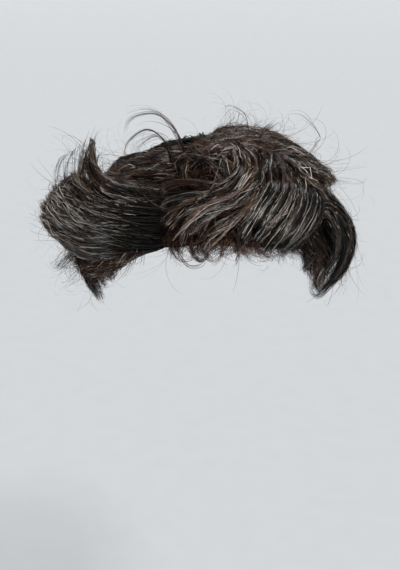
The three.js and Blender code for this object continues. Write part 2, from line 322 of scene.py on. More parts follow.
@dataclass(frozen=True)
class HairFinish(Finish):
    """Fine human hair, dyed in several shades, part of the brown and auburn being painted light: smooth
    scales over a coloured core.

    Its gloss runs as a soft band across the strands, and single grey and brown strands
    catch the light. A strand's shade comes from its column of the map, and the other way
    runs from root to tip, along which painted shade darkens the strand towards its root.
    """

    name: str = "human_hair_dark_blend"
    roughness: float = 0.3
    ior: float = 1.55  # keratin
    specular: float = 0.55
    shades: Stops = (
        (0.0, "#050403"),
        (0.25, "#0e0b08"),
        (0.499, "#221a14"),
        (0.501, "#2c1c13"),
        (0.702, "#6c4f3c"),
        (0.704, "#7e7973"),
        (0.858, "#cfcbc5"),
        (0.86, "#2a120a"),
        (1.0, "#6f3a22"),
    )
    # Painted shade: darkens each strand towards its root, where the hair above would shade it
    painted_root_shade: Stops = ((0.0, "#1e1e1e"), (0.2, "#686868"), (0.4, "#c8c8c8"), (1.0, "#ffffff"))

    def pattern(self, tree: NodeTree, shader: Node) -> None:
        """Colours each strand by its column, with painted shade that darkens it towards its root.

        Args:
            tree: The material's tree.
            shader: Its Principled BSDF.
        """
        place = add_node(tree, "ShaderNodeUVMap", {"uv_map": BAKE_MAP})
        parts = add_node(tree, "ShaderNodeSeparateXYZ", sockets={0: place.outputs[0]})
        shade = add_node(tree, "ShaderNodeValToRGB", sockets={0: parts.outputs[0]})
        set_stops(shade, self.shades)
        # the second ramp paints shade along each strand, darkest at the root
        along = add_node(tree, "ShaderNodeValToRGB", sockets={0: parts.outputs[1]})
        set_stops(along, self.painted_root_shade)
        colour = add_node(
            tree,
            "ShaderNodeMix",
            {"data_type": "RGBA", "blend_type": "MULTIPLY"},
            {0: 1.0, 6: shade.outputs[0], 7: along.outputs[0]},
        )
        tree.links.new(colour.outputs[2], shader.inputs["Base Color"])


@dataclass(frozen=True)
class ShadedHairFinish(HairFinish):
    """A shaded copy of the hair, with its gloss turned down as painted shade where strands lie deep in a lock
    and near their roots.
    """

    name: str = "human_hair_dark_blend_shaded"
    roughness: float = 0.6
    specular: float = 0.1


@dataclass(frozen=True)
class HairMassFinish(Finish):
    """Packed hair seen between the strands: near black, with the strands' grain in it."""

    name: str = "human_hair_packed"
    roughness: float = 0.75
    ior: float = 1.55
    specular: float = 0.12
    strand_mm: float = 0.5  # as coarse as it needs to be to show, where real hair is 0.07
    lock_mm: float = 14.0  # the map's width stands for this much of a lock

    def pattern(self, tree: NodeTree, shader: Node) -> None:
        """Draws the grain of packed strands along the map.

        Args:
            tree: The material's tree.
            shader: Its Principled BSDF.
        """
        place = add_node(tree, "ShaderNodeUVMap", {"uv_map": BAKE_MAP})
        stretch = add_node(
            tree,
            "ShaderNodeVectorMath",
            {"operation": "MULTIPLY"},
            {0: place.outputs[0], 1: (6 * self.lock_mm / self.strand_mm, 5.0, 1.0)},
        )
        grain = add_node(
            tree,
            "ShaderNodeTexNoise",
            sockets={"Vector": stretch.outputs[0], "Scale": 1.0, "Detail": 3.0, "Roughness": 0.6},
        )
        colour = add_node(tree, "ShaderNodeValToRGB", sockets={0: grain.outputs[0]})
        set_stops(colour, ((0.32, "#040303"), (0.55, "#0d0a08"), (0.75, "#1c1512")))
        tree.links.new(colour.outputs[0], shader.inputs["Base Color"])
        self.relief(tree, shader, grain, 0.5, 0.4)


@dataclass(frozen=True)
class NetFinish(Finish):
    """Fine knotted nylon net: a matte weave of thin threads with a small knot at each hair."""

    name: str = "nylon_net_dark_brown"
    roughness: float = 0.75
    cell_mm: float = 1.6  # real net has 0.5 mm cells, drawn coarser so that they show
    weave: Stops = ((0.06, "#3c2c22"), (0.16, "#120d0a"))

    def pattern(self, tree: NodeTree, shader: Node) -> None:
        """Draws threads between dark holes.

        Args:
            tree: The material's tree.
            shader: Its Principled BSDF.
        """
        place = add_node(tree, "ShaderNodeTexCoord")
        scale = 1 / (self.cell_mm * MM)
        cells = add_node(
            tree,
            "ShaderNodeTexVoronoi",
            {"feature": "DISTANCE_TO_EDGE"},
            {"Vector": place.outputs["Object"], "Scale": scale, "Randomness": 0.25},
        )
        weave = add_node(tree, "ShaderNodeValToRGB", sockets={0: cells.outputs[0]})
        set_stops(weave, self.weave)
        tree.links.new(weave.outputs[0], shader.inputs["Base Color"])
        self.relief(tree, shader, cells, -0.6, 0.3)


@dataclass(frozen=True)
class CloudedFinish(Finish):
    """A smooth material whose colour drifts softly from place to place."""

    cloud_mm: float = 10.0
    detail: float = 1.0
    tints: Stops = ()
    dimples: float = 0.0  # the strength of its relief

    def pattern(self, tree: NodeTree, shader: Node) -> None:
        """Lets the colour drift, with dimples where the material has them.

        Args:
            tree: The material's tree.
            shader: Its Principled BSDF.
        """
        place = add_node(tree, "ShaderNodeTexCoord")
        scale = 1 / (self.cloud_mm * MM)
        cloud = add_node(
            tree,
            "ShaderNodeTexNoise",
            sockets={"Vector": place.outputs["Object"], "Scale": scale, "Detail": self.detail},
        )
        tint = add_node(tree, "ShaderNodeValToRGB", sockets={0: cloud.outputs[0]})
        set_stops(tint, self.tints)
        tree.links.new(tint.outputs[0], shader.inputs["Base Color"])
        if self.dimples:
            self.relief(tree, shader, cloud, self.dimples, 0.2)


@dataclass(frozen=True)
class CoatingFinish(CloudedFinish):
    """Polyurethane cast on the net's edge: a thin, skin-like coat, slightly glossy."""

    name: str = "polyurethane_edge_coating"
    roughness: float = 0.38
    cloud_mm: float = 2.5
    detail: float = 2.0
    tints: Stops = ((0.35, "#5d4536"), (0.65, "#6f5443"))
    dimples: float = 0.25


@dataclass(frozen=True)
class PaperFinish(CloudedFinish):
    """Matte background paper: pale grey, without a visible grain."""

    name: str = "background_paper_pale_grey"
    roughness: float = 0.9
    cloud_mm: float = 60.0
    tints: Stops = ((0.3, "#b4b9be"), (0.7, "#b6bbc0"))


@dataclass(frozen=True)
class Scalp:
    """The head's upper surface, which every place on the toupee is given over.

    A place is degrees around from the face, growing towards +X, degrees down from the
    crown, and a lift off the surface.
    """

    half_width: float = 75 * MM
    half_length: float = 95 * MM
    dome: float = 78 * MM
    squareness: float = 2.2
    rim_front: float = 70.0
    rim_side: float = 80.0
    rim_back: float = 95.0

    def half(self) -> Array:
        """The three half sizes."""
        return np.array([self.half_width, self.half_length, self.dome])

    def over(self, around: Array, down: Array, lift: Array | float) -> Array:
        """Finds points that stand off the scalp, square to it.

        Args:
            around: Degrees around from the face.
            down: Degrees down from the crown.
            lift: How far off the scalp.

        Returns:
            (..., 3) points.
        """
        around, down, lift = np.broadcast_arrays(*(np.asarray(v, float) for v in (around, down, lift)))
        turn, drop = np.radians(around), np.radians(down)
        way = np.stack([np.sin(drop) * np.sin(turn), -np.sin(drop) * np.cos(turn), np.cos(drop)], -1)
        share = way / self.half()
        share[..., 2] = np.where(way[..., 2] < 0, 0.0, share[..., 2])
        size = (np.abs(share) ** self.squareness).sum(-1, keepdims=True)
        out = unit(np.sign(share) * np.abs(share) ** (self.squareness - 1) / self.half())
        point = way * size ** (-1 / self.squareness) + out * lift[..., None]
        point[..., 2] -= self.dome
        return point

    def keep_off(self, points: Array, least: Array | float) -> Array:
        """Moves points that are too near the scalp, or inside it, out to a least lift.

        Args:
            points: (..., 3) points.
            least: The least lift.

        Returns:
            The points, moved where they had to be.
        """
        share = (points + [0, 0, self.dome]) / self.half()
        share[..., 2] = np.maximum(share[..., 2], 0.0)
        n = self.squareness
        size = np.maximum((np.abs(share) ** n).sum(-1), 1e-9) ** (1 / n)
        slope = np.sign(share) * np.abs(share) ** (n - 1) / self.half() * size[..., None] ** (1 - n)
        steep = np.maximum(np.linalg.norm(slope, axis=-1), 1e-6)
        push = np.maximum(least - (size - 1) / steep, 0.0)
        return points + slope / steep[..., None] * push[..., None]

    def rim(self, around: Array) -> Array:
        """Finds how far down the foundation reaches.

        Args:
            around: Degrees around from the face.

        Returns:
            Degrees down from the crown.
        """
        front = (1 + np.cos(np.radians(around))) / 2
        side = np.sin(np.radians(around)) ** 2
        return (self.rim_front * front + self.rim_back * (1 - front)) * (1 - side) + self.rim_side * side


SCALP = Scalp()
CAP_WALL = 1.5 * MM
ROOT_BED = 4.5 * MM
BED_LIFT = 0.15  # the share of ROOT_BED that shows as packed roots
LOCK_DEPTH = 5.5 * MM
ROOT_SCATTER = 4.5  # degrees
BOX_SHARE = 0.025  # how far strands may pass the solids' box, as a share of each side
BOX_ROOM = 9 * MM  # and this much further
FIRST_SEED = 100
WISP_STEPS = 28  # points along a strand of each kind
COVER_STEPS = 7
FLYAWAY_STEPS = 13
PACKED_GRID = (26, 17)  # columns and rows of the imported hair, and of the layer of roots
BED_GRID = (22, 18)
CLUMP_CLOSE = 0.45  # how far strands close up to the middle of their clump
LOCK_REACHES = (0.9, 1.0)  # least and most share of the full length
CLUMP_REACHES = (0.93, 1.0)
WAVE_LENGTH = 26 * MM  # the shortest wave, and how much longer the longest is
WAVE_LONGER = 30 * MM
FRIZZ_LENGTHS = (10 * MM, 30 * MM)
STRAY = 5.0  # how many times further a loose strand strays
PALE_WIDTH = 1.4  # how many times wider a grey strand is
LOW_STRAND = 0.35  # strands lower than this in a lock get the shaded material, as painted shade
CLEARANCES = (0.2 * MM, 4.0 * MM)  # how far strands stay off the foundation
WISP_WIDTHS = (0.2 * MM, 0.32 * MM)
FLYAWAY_WIDTHS = (0.1 * MM, 0.22 * MM)
FLYAWAY_LENGTH = 9 * MM  # the shortest, and how much longer the longest is
FLYAWAY_LONGER = 45 * MM
PEAK_SHARE = 0.35  # the share of a crest's short strands that stand at the top of the crown
PEAK_ANGLE = 14  # how far down from the crown they reach, in degrees
PEAK_TOP = 2.0  # how near the crown a crest's other strands are rooted, in degrees
CLUMP_TONE = 0.45  # the share of strands that take their clump's tone


def guide_knots(guide: Guide) -> Array:
    """Finds where a guide runs, which is a line that the hair follows.

    Args:
        guide: The guide.

    Returns:
        (K, 3) points, the first of them in the layer of roots.
    """
    root = (*guide[:2], (CAP_WALL + ROOT_BED / 2) / MM)
    around, down, lift = np.array((*root, *guide[2:]), float).reshape(-1, 3).T
    return SCALP.over(around, down, lift * MM)


@dataclass(frozen=True)
class Bed:
    """The patch of foundation that a section is knotted into, in degrees."""

    start: float
    end: float
    top: float
    foot: float | None = None  # None where it reaches the rim

    def foot_at(self, around: Array) -> Array:
        """How far down the bed reaches at an angle around."""
        return SCALP.rim(around) if self.foot is None else np.full_like(around, self.foot)

    def place(self, x: Array, y: Array) -> tuple[Array, Array]:
        """Degrees around and down at shares of the bed's width and height."""
        around = self.start + (self.end - self.start) * x
        return around, self.top + (self.foot_at(around) - self.top) * y


CREST_BED = Bed(-180, 180, 0.3, 12)  # the very top of the crown


@dataclass
class Ribbons:
    """Strands of one section, each a narrow strip that is shaded as if it were round."""

    root: float = 0.2  # the share of each strand, from its root, that gets the shaded material as painted shade
    root_shade_reach: float = 1.0  # above 1 the painted shade reaches further from the roots
    roundness: float = 0.75  # radians that the shading turns from the middle to each edge
    batches: list[tuple[Array, ...]] = field(default_factory=list)

    def add(self, lines: Array, facing: Array, widths: Array, shades: Array, shaded: Array) -> None:
        """Adds strands, apart from those that would make the part larger than it is.

        Args:
            lines: (N, T, 3) middle lines.
            facing: (N, T, 3) ways that the strips face.
            widths: (N,) full widths.
            shades: (N,) shade columns.
            shaded: (N,) whether the strand gets the shaded material, as painted shade for lying deep in a
                lock.
        """
        low, high = (np.array(corner) for corner in CAD_BOX)
        room = BOX_SHARE * (high - low) + BOX_ROOM
        inside = ((lines > low - room) & (lines < high + room)).all((1, 2))
        self.batches.append(tuple(v[inside] for v in (lines, facing, widths, shades, shaded)))

    def build(self, name: str, hair: Material, shade: Material) -> Piece:
        """Makes one mesh of all the strands.

        Args:
            name: The piece's name.
            hair: The hair's material.
            shade: The shaded copy of the hair's material, as painted shade for hair that lies deep.

        Returns:
            The piece.
        """
        points, normals, maps, faces, deep, base = [], [], [], [], [], 0
        near, far = math.cos(self.roundness), math.sin(self.roundness)
        for lines, facing, widths, shades, shaded in self.batches:
            n, t, _ = lines.shape
            # the first share of each strand gets the shaded material, as painted shade near the root
            rooted = np.arange(t - 1) < self.root * (t - 1)
            deep.append((shaded[:, None] | rooted[None, :]).ravel())
            run = unit(np.gradient(lines, axis=1))
            face = unit(facing - (facing * run).sum(-1, keepdims=True) * run)
            side = np.cross(face, run)
            along = np.linspace(0, 1, t)
            slim = (0.7 + 0.3 * smooth(along / 0.12)) * (1 - 0.75 * along**4)
            half = side * (widths[:, None] * slim / 2)[..., None]
            points.append(np.stack([lines - half, lines + half], 2).reshape(-1, 3))
            normals.append(np.stack([face * near - side * far, face * near + side * far], 2).reshape(-1, 3))
            grid = base + np.arange(n * t * 2).reshape(n, t, 2)
            quads = [grid[:, :-1, 0], grid[:, 1:, 0], grid[:, 1:, 1], grid[:, :-1, 1]]
            faces.append(np.stack(quads, -1).reshape(-1, 4))
            # the map's second place, which the material turns into painted shade near the roots
            height = np.broadcast_to(along**self.root_shade_reach, (n, t))
            edges = [np.broadcast_to(((shades + e) / SHADES)[:, None], (n, t)) for e in (0.15, 0.85)]
            maps.append(np.stack([np.stack([e, height], -1) for e in edges], 2).reshape(-1, 2))
            base += n * t * 2
        piece = mesh_piece(name, *(np.concatenate(v) for v in (points, faces, maps)), hair)
        piece.data.materials.append(shade)
        piece.data.polygons.foreach_set("material_index", np.concatenate(deep).astype(np.int32))
        piece.data.normals_split_custom_set_from_vertices(unit(np.concatenate(normals)))
        return piece


@dataclass
class Sheet:
    """The smooth sheet of hair between a row of guides, worked out on a fine grid."""

    guides: tuple[Guide, ...]
    columns: int = 49
    rows: int = 65
    margin: float = 0.12  # how far it goes on past the first and last guide

    def __post_init__(self) -> None:
        """Works out the grid: points, and sideways and outward unit vectors."""
        knots = np.stack([guide_knots(guide) for guide in self.guides])
        across = np.linspace(-self.margin, 1 + self.margin, self.columns)
        last = len(knots) - 1
        low = np.clip(np.floor(across * last), 0, max(last - 1, 0)).astype(int)
        share = (across * last - low)[:, None, None]
        lines = knots[low] * (1 - share) + knots[np.minimum(low + 1, last)] * share
        self.centre = spline(lines, np.linspace(0, 1, self.rows))
        run = unit(np.gradient(self.centre, axis=1))
        if last:
            wide = np.gradient(self.centre, axis=0) / (across[1] - across[0])
        else:
            wide = np.cross([0.0, 0.0, 1.0], run)
        self.out = unit(np.cross(wide, run))
        if (self.out * (self.centre + [0, 0, SCALP.dome])).sum() < 0:
            self.out = -self.out
        self.side = np.cross(run, self.out)
        sense = np.sign((self.side * wide).sum())
        self.side = self.side * (sense if sense else 1.0)

    def at(self, across: Array, along: Array) -> tuple[Array, Array, Array]:
        """Looks places up on the sheet.

        Args:
            across: Shares from the first guide to the last.
            along: Shares from root to tip, in the same shape.

        Returns:
            Points, and sideways and outward unit vectors.
        """
        x = (np.clip(across, -self.margin, 1 + self.margin) + self.margin) / (1 + 2 * self.margin)
        x = x * (self.columns - 1)
        y = np.clip(along, 0, 1) * (self.rows - 1)
        i = np.minimum(x.astype(int), self.columns - 2)
        j = np.minimum(y.astype(int), self.rows - 2)
        a, b = (x - i)[..., None], (y - j)[..., None]

        def blend(grid: Array) -> Array:
            """The grid's values at the places."""
            near, far = (grid[i + k, j] * (1 - b) + grid[i + k, j + 1] * b for k in (0, 1))
            return near * (1 - a) + far * a

        return blend(self.centre), unit(blend(self.side)), unit(blend(self.out))


@dataclass(frozen=True)
class Drape:
    """A layer of strands that follow a row of guides.

    Strands gather in locks, and in finer clumps within a lock. Lengths are in metres.
    """

    guides: tuple[Guide, ...]
    strands: int
    locks: float = 8  # how many locks the ends gather in
    fine: float = 5  # clumps in each lock
    gather: float = 0.5  # how far the ends close up into locks
    depth: float = LOCK_DEPTH
    wave: float = 1.3 * MM  # how far a clump waves
    frizz: float = 0.5 * MM  # how far a strand strays from its clump
    loose: float = 0.1  # the share of strands that stray much further
    lean: float = 3.0 * MM  # how far apart the locks' ends stand
    hook: float = 2.0 * MM  # how widely the ends curl
    curl: float = 4.5  # radians that the ends turn through over a whole length
    reach: float = 1.0  # how far along the guides the locks reach
    shortest: float = 0.72  # the shortest strand's share of that
    margin: float = 0.03  # how far strands spread past the first and last guide
    width: float = 0.36 * MM
    steps: int = 12  # points along a strand
    twist: float = 0.5  # radians that strips turn away from facing outwards
    deep: float = 0.4  # the share of clumps, the darkest ones, that get the shaded material as painted shade
    tones: Tones | None = None

    def grow(self, section: "Section", ribbons: Ribbons, rng: Random, share: float) -> Array:
        """Grows the strands.

        Args:
            section: The section that they belong to.
            ribbons: Takes the strands.
            rng: The source of chance.
            share: The share of the strands to grow.

        Returns:
            (N, T, 3) the strands' middle lines.
        """
        count = int(self.strands * share)
        run = np.linspace(0, 1, self.steps)[None, :]

        # Where each strand starts, and how its end closes up to its clump and its lock
        start = rng.uniform(-self.margin, 1 + self.margin, count)
        lock_middle, lock = nearest(start, self.locks, rng)
        clump_middle, clump = nearest(start, self.locks * self.fine, rng)
        clumps, locks = clump.max() + 1, lock.max() + 1
        near = smooth(run * 1.5) * CLUMP_CLOSE
        close = smooth(run * 1.05) * self.gather
        across = start[:, None] + (clump_middle - start)[:, None] * near * (1 - close)
        across = across + (lock_middle - start)[:, None] * close
        reach = rng.uniform(*LOCK_REACHES, locks)[lock] * rng.uniform(*CLUMP_REACHES, clumps)[clump]
        reach = self.reach * reach * (1 - (1 - self.shortest) * rng.random(count) ** 2.5)
        along = run * reach[:, None]
        centre, side, out = Sheet(self.guides).at(across, along)

        # How high each strand lies in its lock, which is round across and thin at its end
        traits = rng.random((clumps, 6))[clump]
        shades = section.pick_shades(count, rng, traits[:, 4], traits[:, 5], self.tones)
        pale = (shades >= Tone.GREY.value[0]) & (shades <= Tone.GREY.value[1])
        height = (1 - 1.5 * rng.random(count) ** np.where(pale, 3.0, 1.6))[:, None]
        # strands low in a lock and the darkest clumps get the shaded material, as painted shade
        shaded = ~pale & ((height[:, 0] < LOW_STRAND) | (traits[:, 4] < self.deep))
        away = np.clip(np.abs(start - lock_middle) * self.locks / 0.62, 0, 1)
        bump = (0.35 + 0.65 * np.sqrt(1 - away**2))[:, None]
        height = height * (1 - 0.55 * close) * bump
        full = (0.6 + 0.4 * np.sin(math.pi * along)) * (1 - 0.5 * along**3)

        travel = run * np.linalg.norm(np.diff(centre, axis=1), axis=-1).sum(1)[:, None]
        sway, heave = self.waves(run, travel, lock, traits, rng)
        lines = centre + side * sway[..., None] + out * (height * self.depth * full + heave)[..., None]

        # Roots that scatter over the bed
        roots = section.root_points(self.guides, start, rng)
        lines = lines + (roots - lines[:, 0])[:, None, :] * (1 - smooth(run / 0.4))[..., None]
        lines = SCALP.keep_off(lines, CAP_WALL + rng.uniform(*CLEARANCES, (count, 1)))
        facing = turned(out, side, rng.normal(0, self.twist, (count, 1, 1)))
        widths = self.width * rng.uniform(0.75, 1.25, count) * np.where(pale, PALE_WIDTH, 1.0)
        ribbons.add(lines, facing, widths, shades, shaded)
        return lines

    def waves(
        self, run: Array, travel: Array, lock: Array, traits: Array, rng: Random
    ) -> tuple[Array, Array]:
        """Bends strands off their guides.

        Args:
            run: (1, T) shares of the way from root to tip.
            travel: (N, T) the same as lengths.
            lock: (N,) the lock that each strand is in.
            traits: (N, 6) shares that the strands of a clump have in common.
            rng: The source of chance.

        Returns:
            (N, T) how far the strands lie sideways, and how far outwards.
        """
        # The way that a lock's end leans, and the waves that a clump shares
        lean = rng.normal(0, 1, (lock.max() + 1, 2))[lock] * self.lean
        pace = TURN / (WAVE_LENGTH + WAVE_LONGER * traits[:, :1])
        free = smooth(run / 0.45)
        sway = self.wave * free * np.sin(pace * travel + TURN * traits[:, 1:2])
        heave = 0.7 * self.wave * free * np.sin(1.3 * pace * travel + TURN * traits[:, 2:3])
        sway = sway + lean[:, :1] * run**2
        heave = heave + lean[:, 1:] * 0.6 * run**2

        # A strand's own frizz, and the curl of its end
        own = rng.random((len(travel), 3))
        stray = self.frizz * np.where(own[:, :1] < self.loose, STRAY, 1.0) * smooth(run * 1.4)
        quick = TURN / rng.uniform(*FRIZZ_LENGTHS, (len(travel), 1))
        end = smooth((run - 0.62) / 0.38)
        turn = TURN * traits[:, 3:4] + self.curl * (run - 0.6)
        sway = sway + stray * np.sin(quick * travel + TURN * own[:, 1:2])
        sway = sway + self.hook * end * np.cos(turn)
        heave = heave + stray * np.sin(0.8 * quick * travel + TURN * own[:, 2:3])
        return sway, heave + self.hook * end * np.sin(turn)


def drape(*guides: Guide, **values: object) -> Drape:
    """A layer of strands along the guides."""
    return Drape(guides, **values)


@dataclass(frozen=True)
class Wisp:
    """A thin curl that stands alone, along one guide."""

    guide: Guide
    strands: int = 26
    spread: float = 1.3 * MM
    fray: float = 1.6  # how much wider it is at its tip

    def grow(self, section: "Section", ribbons: Ribbons, rng: Random) -> None:
        """Grows the curl.

        Args:
            section: The section that it belongs to.
            ribbons: Takes the strands.
            rng: The source of chance.
        """
        run = np.linspace(0, 1, WISP_STEPS)[None, :]
        count = self.strands
        along = run * rng.uniform(0.72, 1.0, (count, 1))
        centre, side, out = Sheet((self.guide,)).at(np.full_like(along, 0.5), along)
        angle, radius = rng.random((count, 1)) * TURN, rng.random((count, 1)) ** 0.8
        phase = rng.random((count, 2)) * TURN
        wide = self.spread * (0.7 + self.fray * along**2)
        turn = angle + 1.5 * run
        a = radius * np.cos(turn + 0.5 * np.sin(5 * run + phase[:, :1])) * wide
        b = radius * np.sin(turn + 0.5 * np.sin(6 * run + phase[:, 1:])) * wide
        lines = centre + side * a[..., None] + out * b[..., None]
        facing = turned(out, side, rng.random((count, 1, 1)) * TURN)
        widths = rng.uniform(*WISP_WIDTHS, count)
        shades = section.pick_shades(count, rng, rng.random(count), rng.random(count))
        # a random share of these strands gets the shaded material, as painted shade
        ribbons.add(lines, facing, widths, shades, rng.random(count) < 0.3)


@dataclass(frozen=True)
class Section:
    """One section of hair, with its own sweep, gloss and mix of tones."""

    node: str
    bed: Bed
    sheet: Drape
    tones: Tones
    cover: int  # short strands that spread over the whole bed
    drapes: tuple[Drape, ...] = ()
    wisps: tuple[Wisp, ...] = ()
    crest: bool = False  # it covers the very top of the crown
    flyaways: int = 60
    packed: float = 0.3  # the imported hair's share of the sheet's depth
    packed_end: float = 0.7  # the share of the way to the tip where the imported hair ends
    root: float = 0.2  # the share of each strand, from its root, that gets the shaded material as painted shade
    root_shade_reach: float = 1.0  # above 1 the painted shade reaches further from the roots
    seed: int = 0

    def build_packed(self, material: Material, rng: Random) -> Piece:
        """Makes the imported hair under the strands: a closed sheet, and the layer of roots.

        Args:
            material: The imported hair's material.
            rng: The source of chance.

        Returns:
            The piece.
        """
        columns, rows = PACKED_GRID
        ends = self.packed_end + rng.uniform(-0.07, 0.04, columns)
        x = np.broadcast_to(np.linspace(0.02, 0.98, columns)[:, None], (columns, rows))
        y = np.linspace(0.04, 1, rows)[None, :] * ends[:, None]
        centre, _, out = Sheet(self.sheet.guides).at(x, y)
        depth = self.sheet.depth
        edge = np.minimum(np.minimum(x, 1 - x) / 0.1, (1 - y / ends[:, None]) / 0.25 + 0.04)
        full = np.sqrt(np.clip(edge, 0.02, 1))[..., None] * depth
        wavy = (1 + 0.35 * np.sin(x * TURN * self.sheet.locks))[..., None]
        centre = centre - out * (0.6 * depth * (1 - smooth(y / 0.45)))[..., None]
        top = centre + out * full * self.packed * wavy
        under = centre - out * full * 0.55
        body = np.concatenate([top, under[:, ::-1]], 1)
        body = np.concatenate([body, body[:, :1]], 1)
        body = SCALP.keep_off(body, CAP_WALL + 0.3 * MM)
        around = body.shape[1]
        u, v = np.meshgrid(np.linspace(0, 1, columns), np.linspace(0, 0.78, around), indexing="ij")
        points, maps = [body.reshape(-1, 3)], [np.stack([u, v], -1).reshape(-1, 2)]
        faces = [grid_faces(columns, around)]
        for bed in (self.bed, CREST_BED) if self.crest else (self.bed,):
            patch, patch_maps, patch_faces = self.bed_patch(bed, sum(len(p) for p in points))
            points.append(patch)
            maps.append(patch_maps)
            faces.append(patch_faces)
        name = f"{self.node}_packed_hair"
        return mesh_piece(name, *(np.concatenate(v) for v in (points, faces, maps)), material)

    def bed_patch(self, bed: Bed, base: int) -> tuple[Array, Array, Array]:
        """Makes the layer of dense roots over a bed.

        Args:
            bed: The bed.
            base: The number of the layer's first vertex.

        Returns:
            Its vertices, their places on the map, and its faces.
        """
        columns, rows = BED_GRID
        x, y = np.meshgrid(np.linspace(0, 1, columns), np.linspace(0, 1, rows), indexing="ij")
        edge = np.minimum(np.minimum(x, 1 - x), np.minimum(y, 1 - y))
        lift = CAP_WALL + 0.2 * MM + ROOT_BED * BED_LIFT * smooth(edge / 0.06)
        points = SCALP.over(*bed.place(x, y), lift).reshape(-1, 3)
        maps = np.stack([x, 0.82 + 0.16 * y], -1).reshape(-1, 2)
        return points, maps, grid_faces(columns, rows, base)

    def root_points(self, guides: tuple[Guide, ...], across: Array, rng: Random) -> Array:
        """Scatters roots over the bed.

        Args:
            guides: The guides whose roots they lie around.
            across: (N,) each strand's share from the first guide to the last.
            rng: The source of chance.

        Returns:
            (N, 3) points on the foundation.
        """
        roots = np.array([guide[:2] for guide in guides], float)
        place = np.clip(across, 0, 1) * (len(roots) - 1)
        low = np.clip(place.astype(int), 0, max(len(roots) - 2, 0))
        share = (place - low)[:, None]
        middle = roots[low] * (1 - share) + roots[np.minimum(low + 1, len(roots) - 1)] * share
        down = middle[:, 1] + rng.normal(0, ROOT_SCATTER, len(across))
        wider = ROOT_SCATTER / np.sin(np.radians(np.clip(down, 15, 90)))
        around = middle[:, 0] + rng.normal(0, 1, len(across)) * wider
        return self.on_bed(around, down)

    def on_bed(self, around: Array, down: Array) -> Array:
        """Keeps roots within the bed.

        Args:
            around: (N,) degrees around from the face.
            down: (N,) degrees down from the crown.

        Returns:
            (N, 3) points on the foundation.
        """
        around = np.clip(around, self.bed.start, self.bed.end)
        top = PEAK_TOP if self.crest else self.bed.top
        return SCALP.over(around, np.clip(down, top, self.bed.foot_at(around) - 1), CAP_WALL)

    def pick_shades(
        self, count: int, rng: Random, level: Array, kind: Array, tones: Tones | None = None
    ) -> Array:
        """Chooses each strand's shade column.

        Args:
            count: How many strands.
            rng: The source of chance.
            level: (N,) from 0 to 1, how light the strand's clump is.
            kind: (N,) from 0 to 1, which tone the strand's clump leans to.
            tones: Shares of Tone, where they aren't the section's own.

        Returns:
            (N,) shade columns.
        """
        shares = np.array(tones or self.tones)
        steps = np.cumsum(shares / shares.sum())
        grey = list(Tone).index(Tone.GREY)
        tone = np.minimum(np.searchsorted(steps, rng.random(count)), len(Tone) - 1)
        clump = np.minimum(np.searchsorted(steps, kind), len(Tone) - 1)
        joins = (rng.random(count) < CLUMP_TONE) & (clump != grey) & (tone != grey)
        tone = np.where(joins, clump, tone)
        first, last = np.array([t.value for t in Tone], float).T
        light = np.clip(0.65 * level + 0.35 * rng.random(count), 0, 0.999)
        return np.floor(first[tone] + (last[tone] - first[tone] + 1) * light)

    def grow_cover(self, ribbons: Ribbons, rng: Random, share: float) -> None:
        """Grows short strands from all over the bed, which run as the sheet does beside them.

        Args:
            ribbons: Takes the strands.
            rng: The source of chance.
            share: The share of the strands to grow.
        """
        count = int(self.cover * share)
        run = np.linspace(0, 1, COVER_STEPS)[None, :]
        x, y = rng.random(count), np.sqrt(rng.random(count))
        roots = self.on_bed(*self.bed.place(x, y))
        if self.crest:
            peak = rng.random(count) < PEAK_SHARE
            round_top = SCALP.over(360 * x, PEAK_ANGLE * y, CAP_WALL)
            roots = np.where(peak[:, None], round_top, roots)

        # The place on the sheet nearest each root, where the strand takes up its direction
        sheet = Sheet(self.sheet.guides)
        near = sheet.centre[::4, ::4]
        gap = np.linalg.norm(roots[:, None, None, :] - near[None], axis=-1).reshape(count, -1)
        column, row = np.divmod(gap.argmin(1), near.shape[1])
        across = column / (near.shape[0] - 1) * (1 + 2 * sheet.margin) - sheet.margin
        across = across + rng.normal(0, 0.06, count)
        begin = np.minimum(row / (near.shape[1] - 1), 0.6)[:, None]
        middle, clump = nearest(across, 26, rng)
        traits = rng.random((clump.max() + 1, 6))[clump]
        reach = rng.uniform(0.35, 0.8, (count, 1))
        spot = across[:, None] + (middle - across)[:, None] * 0.5 * smooth(run)
        centre, side, out = sheet.at(spot, begin + run * reach * (1 - begin))

        travel = run * np.linalg.norm(np.diff(centre, axis=1), axis=-1).sum(1)[:, None]
        own = rng.random((count, 3))
        pace = TURN / (14 * MM + 22 * MM * traits[:, :1])
        wide = (1.0 + 2.4 * own[:, :1]) * MM * smooth(run * 1.2)
        sway = wide * np.sin(pace * travel + TURN * traits[:, 1:2] + own[:, 1:2])
        heave = 0.6 * wide * np.sin(0.9 * pace * travel + TURN * traits[:, 2:3] + own[:, 2:3])
        size = rng.uniform(0.4, 1.0, (count, 1, 1))
        lines = roots[:, None, :] + (centre - centre[:, :1]) * size
        lines = lines + side * sway[..., None] + out * heave[..., None]
        clear = rng.uniform(0.3 * MM, 6.0 * MM, (count, 1)) * smooth(run * 3)
        lines = SCALP.keep_off(lines, CAP_WALL + clear)
        facing = turned(out, side, rng.normal(0, 0.6, (count, 1, 1)))
        widths = self.sheet.width * rng.uniform(0.75, 1.25, count)
        shades = self.pick_shades(count, rng, traits[:, 4], traits[:, 5])
        # a random share of these strands gets the shaded material, as painted shade
        ribbons.add(lines, facing, widths, shades, rng.random(count) < 0.8)

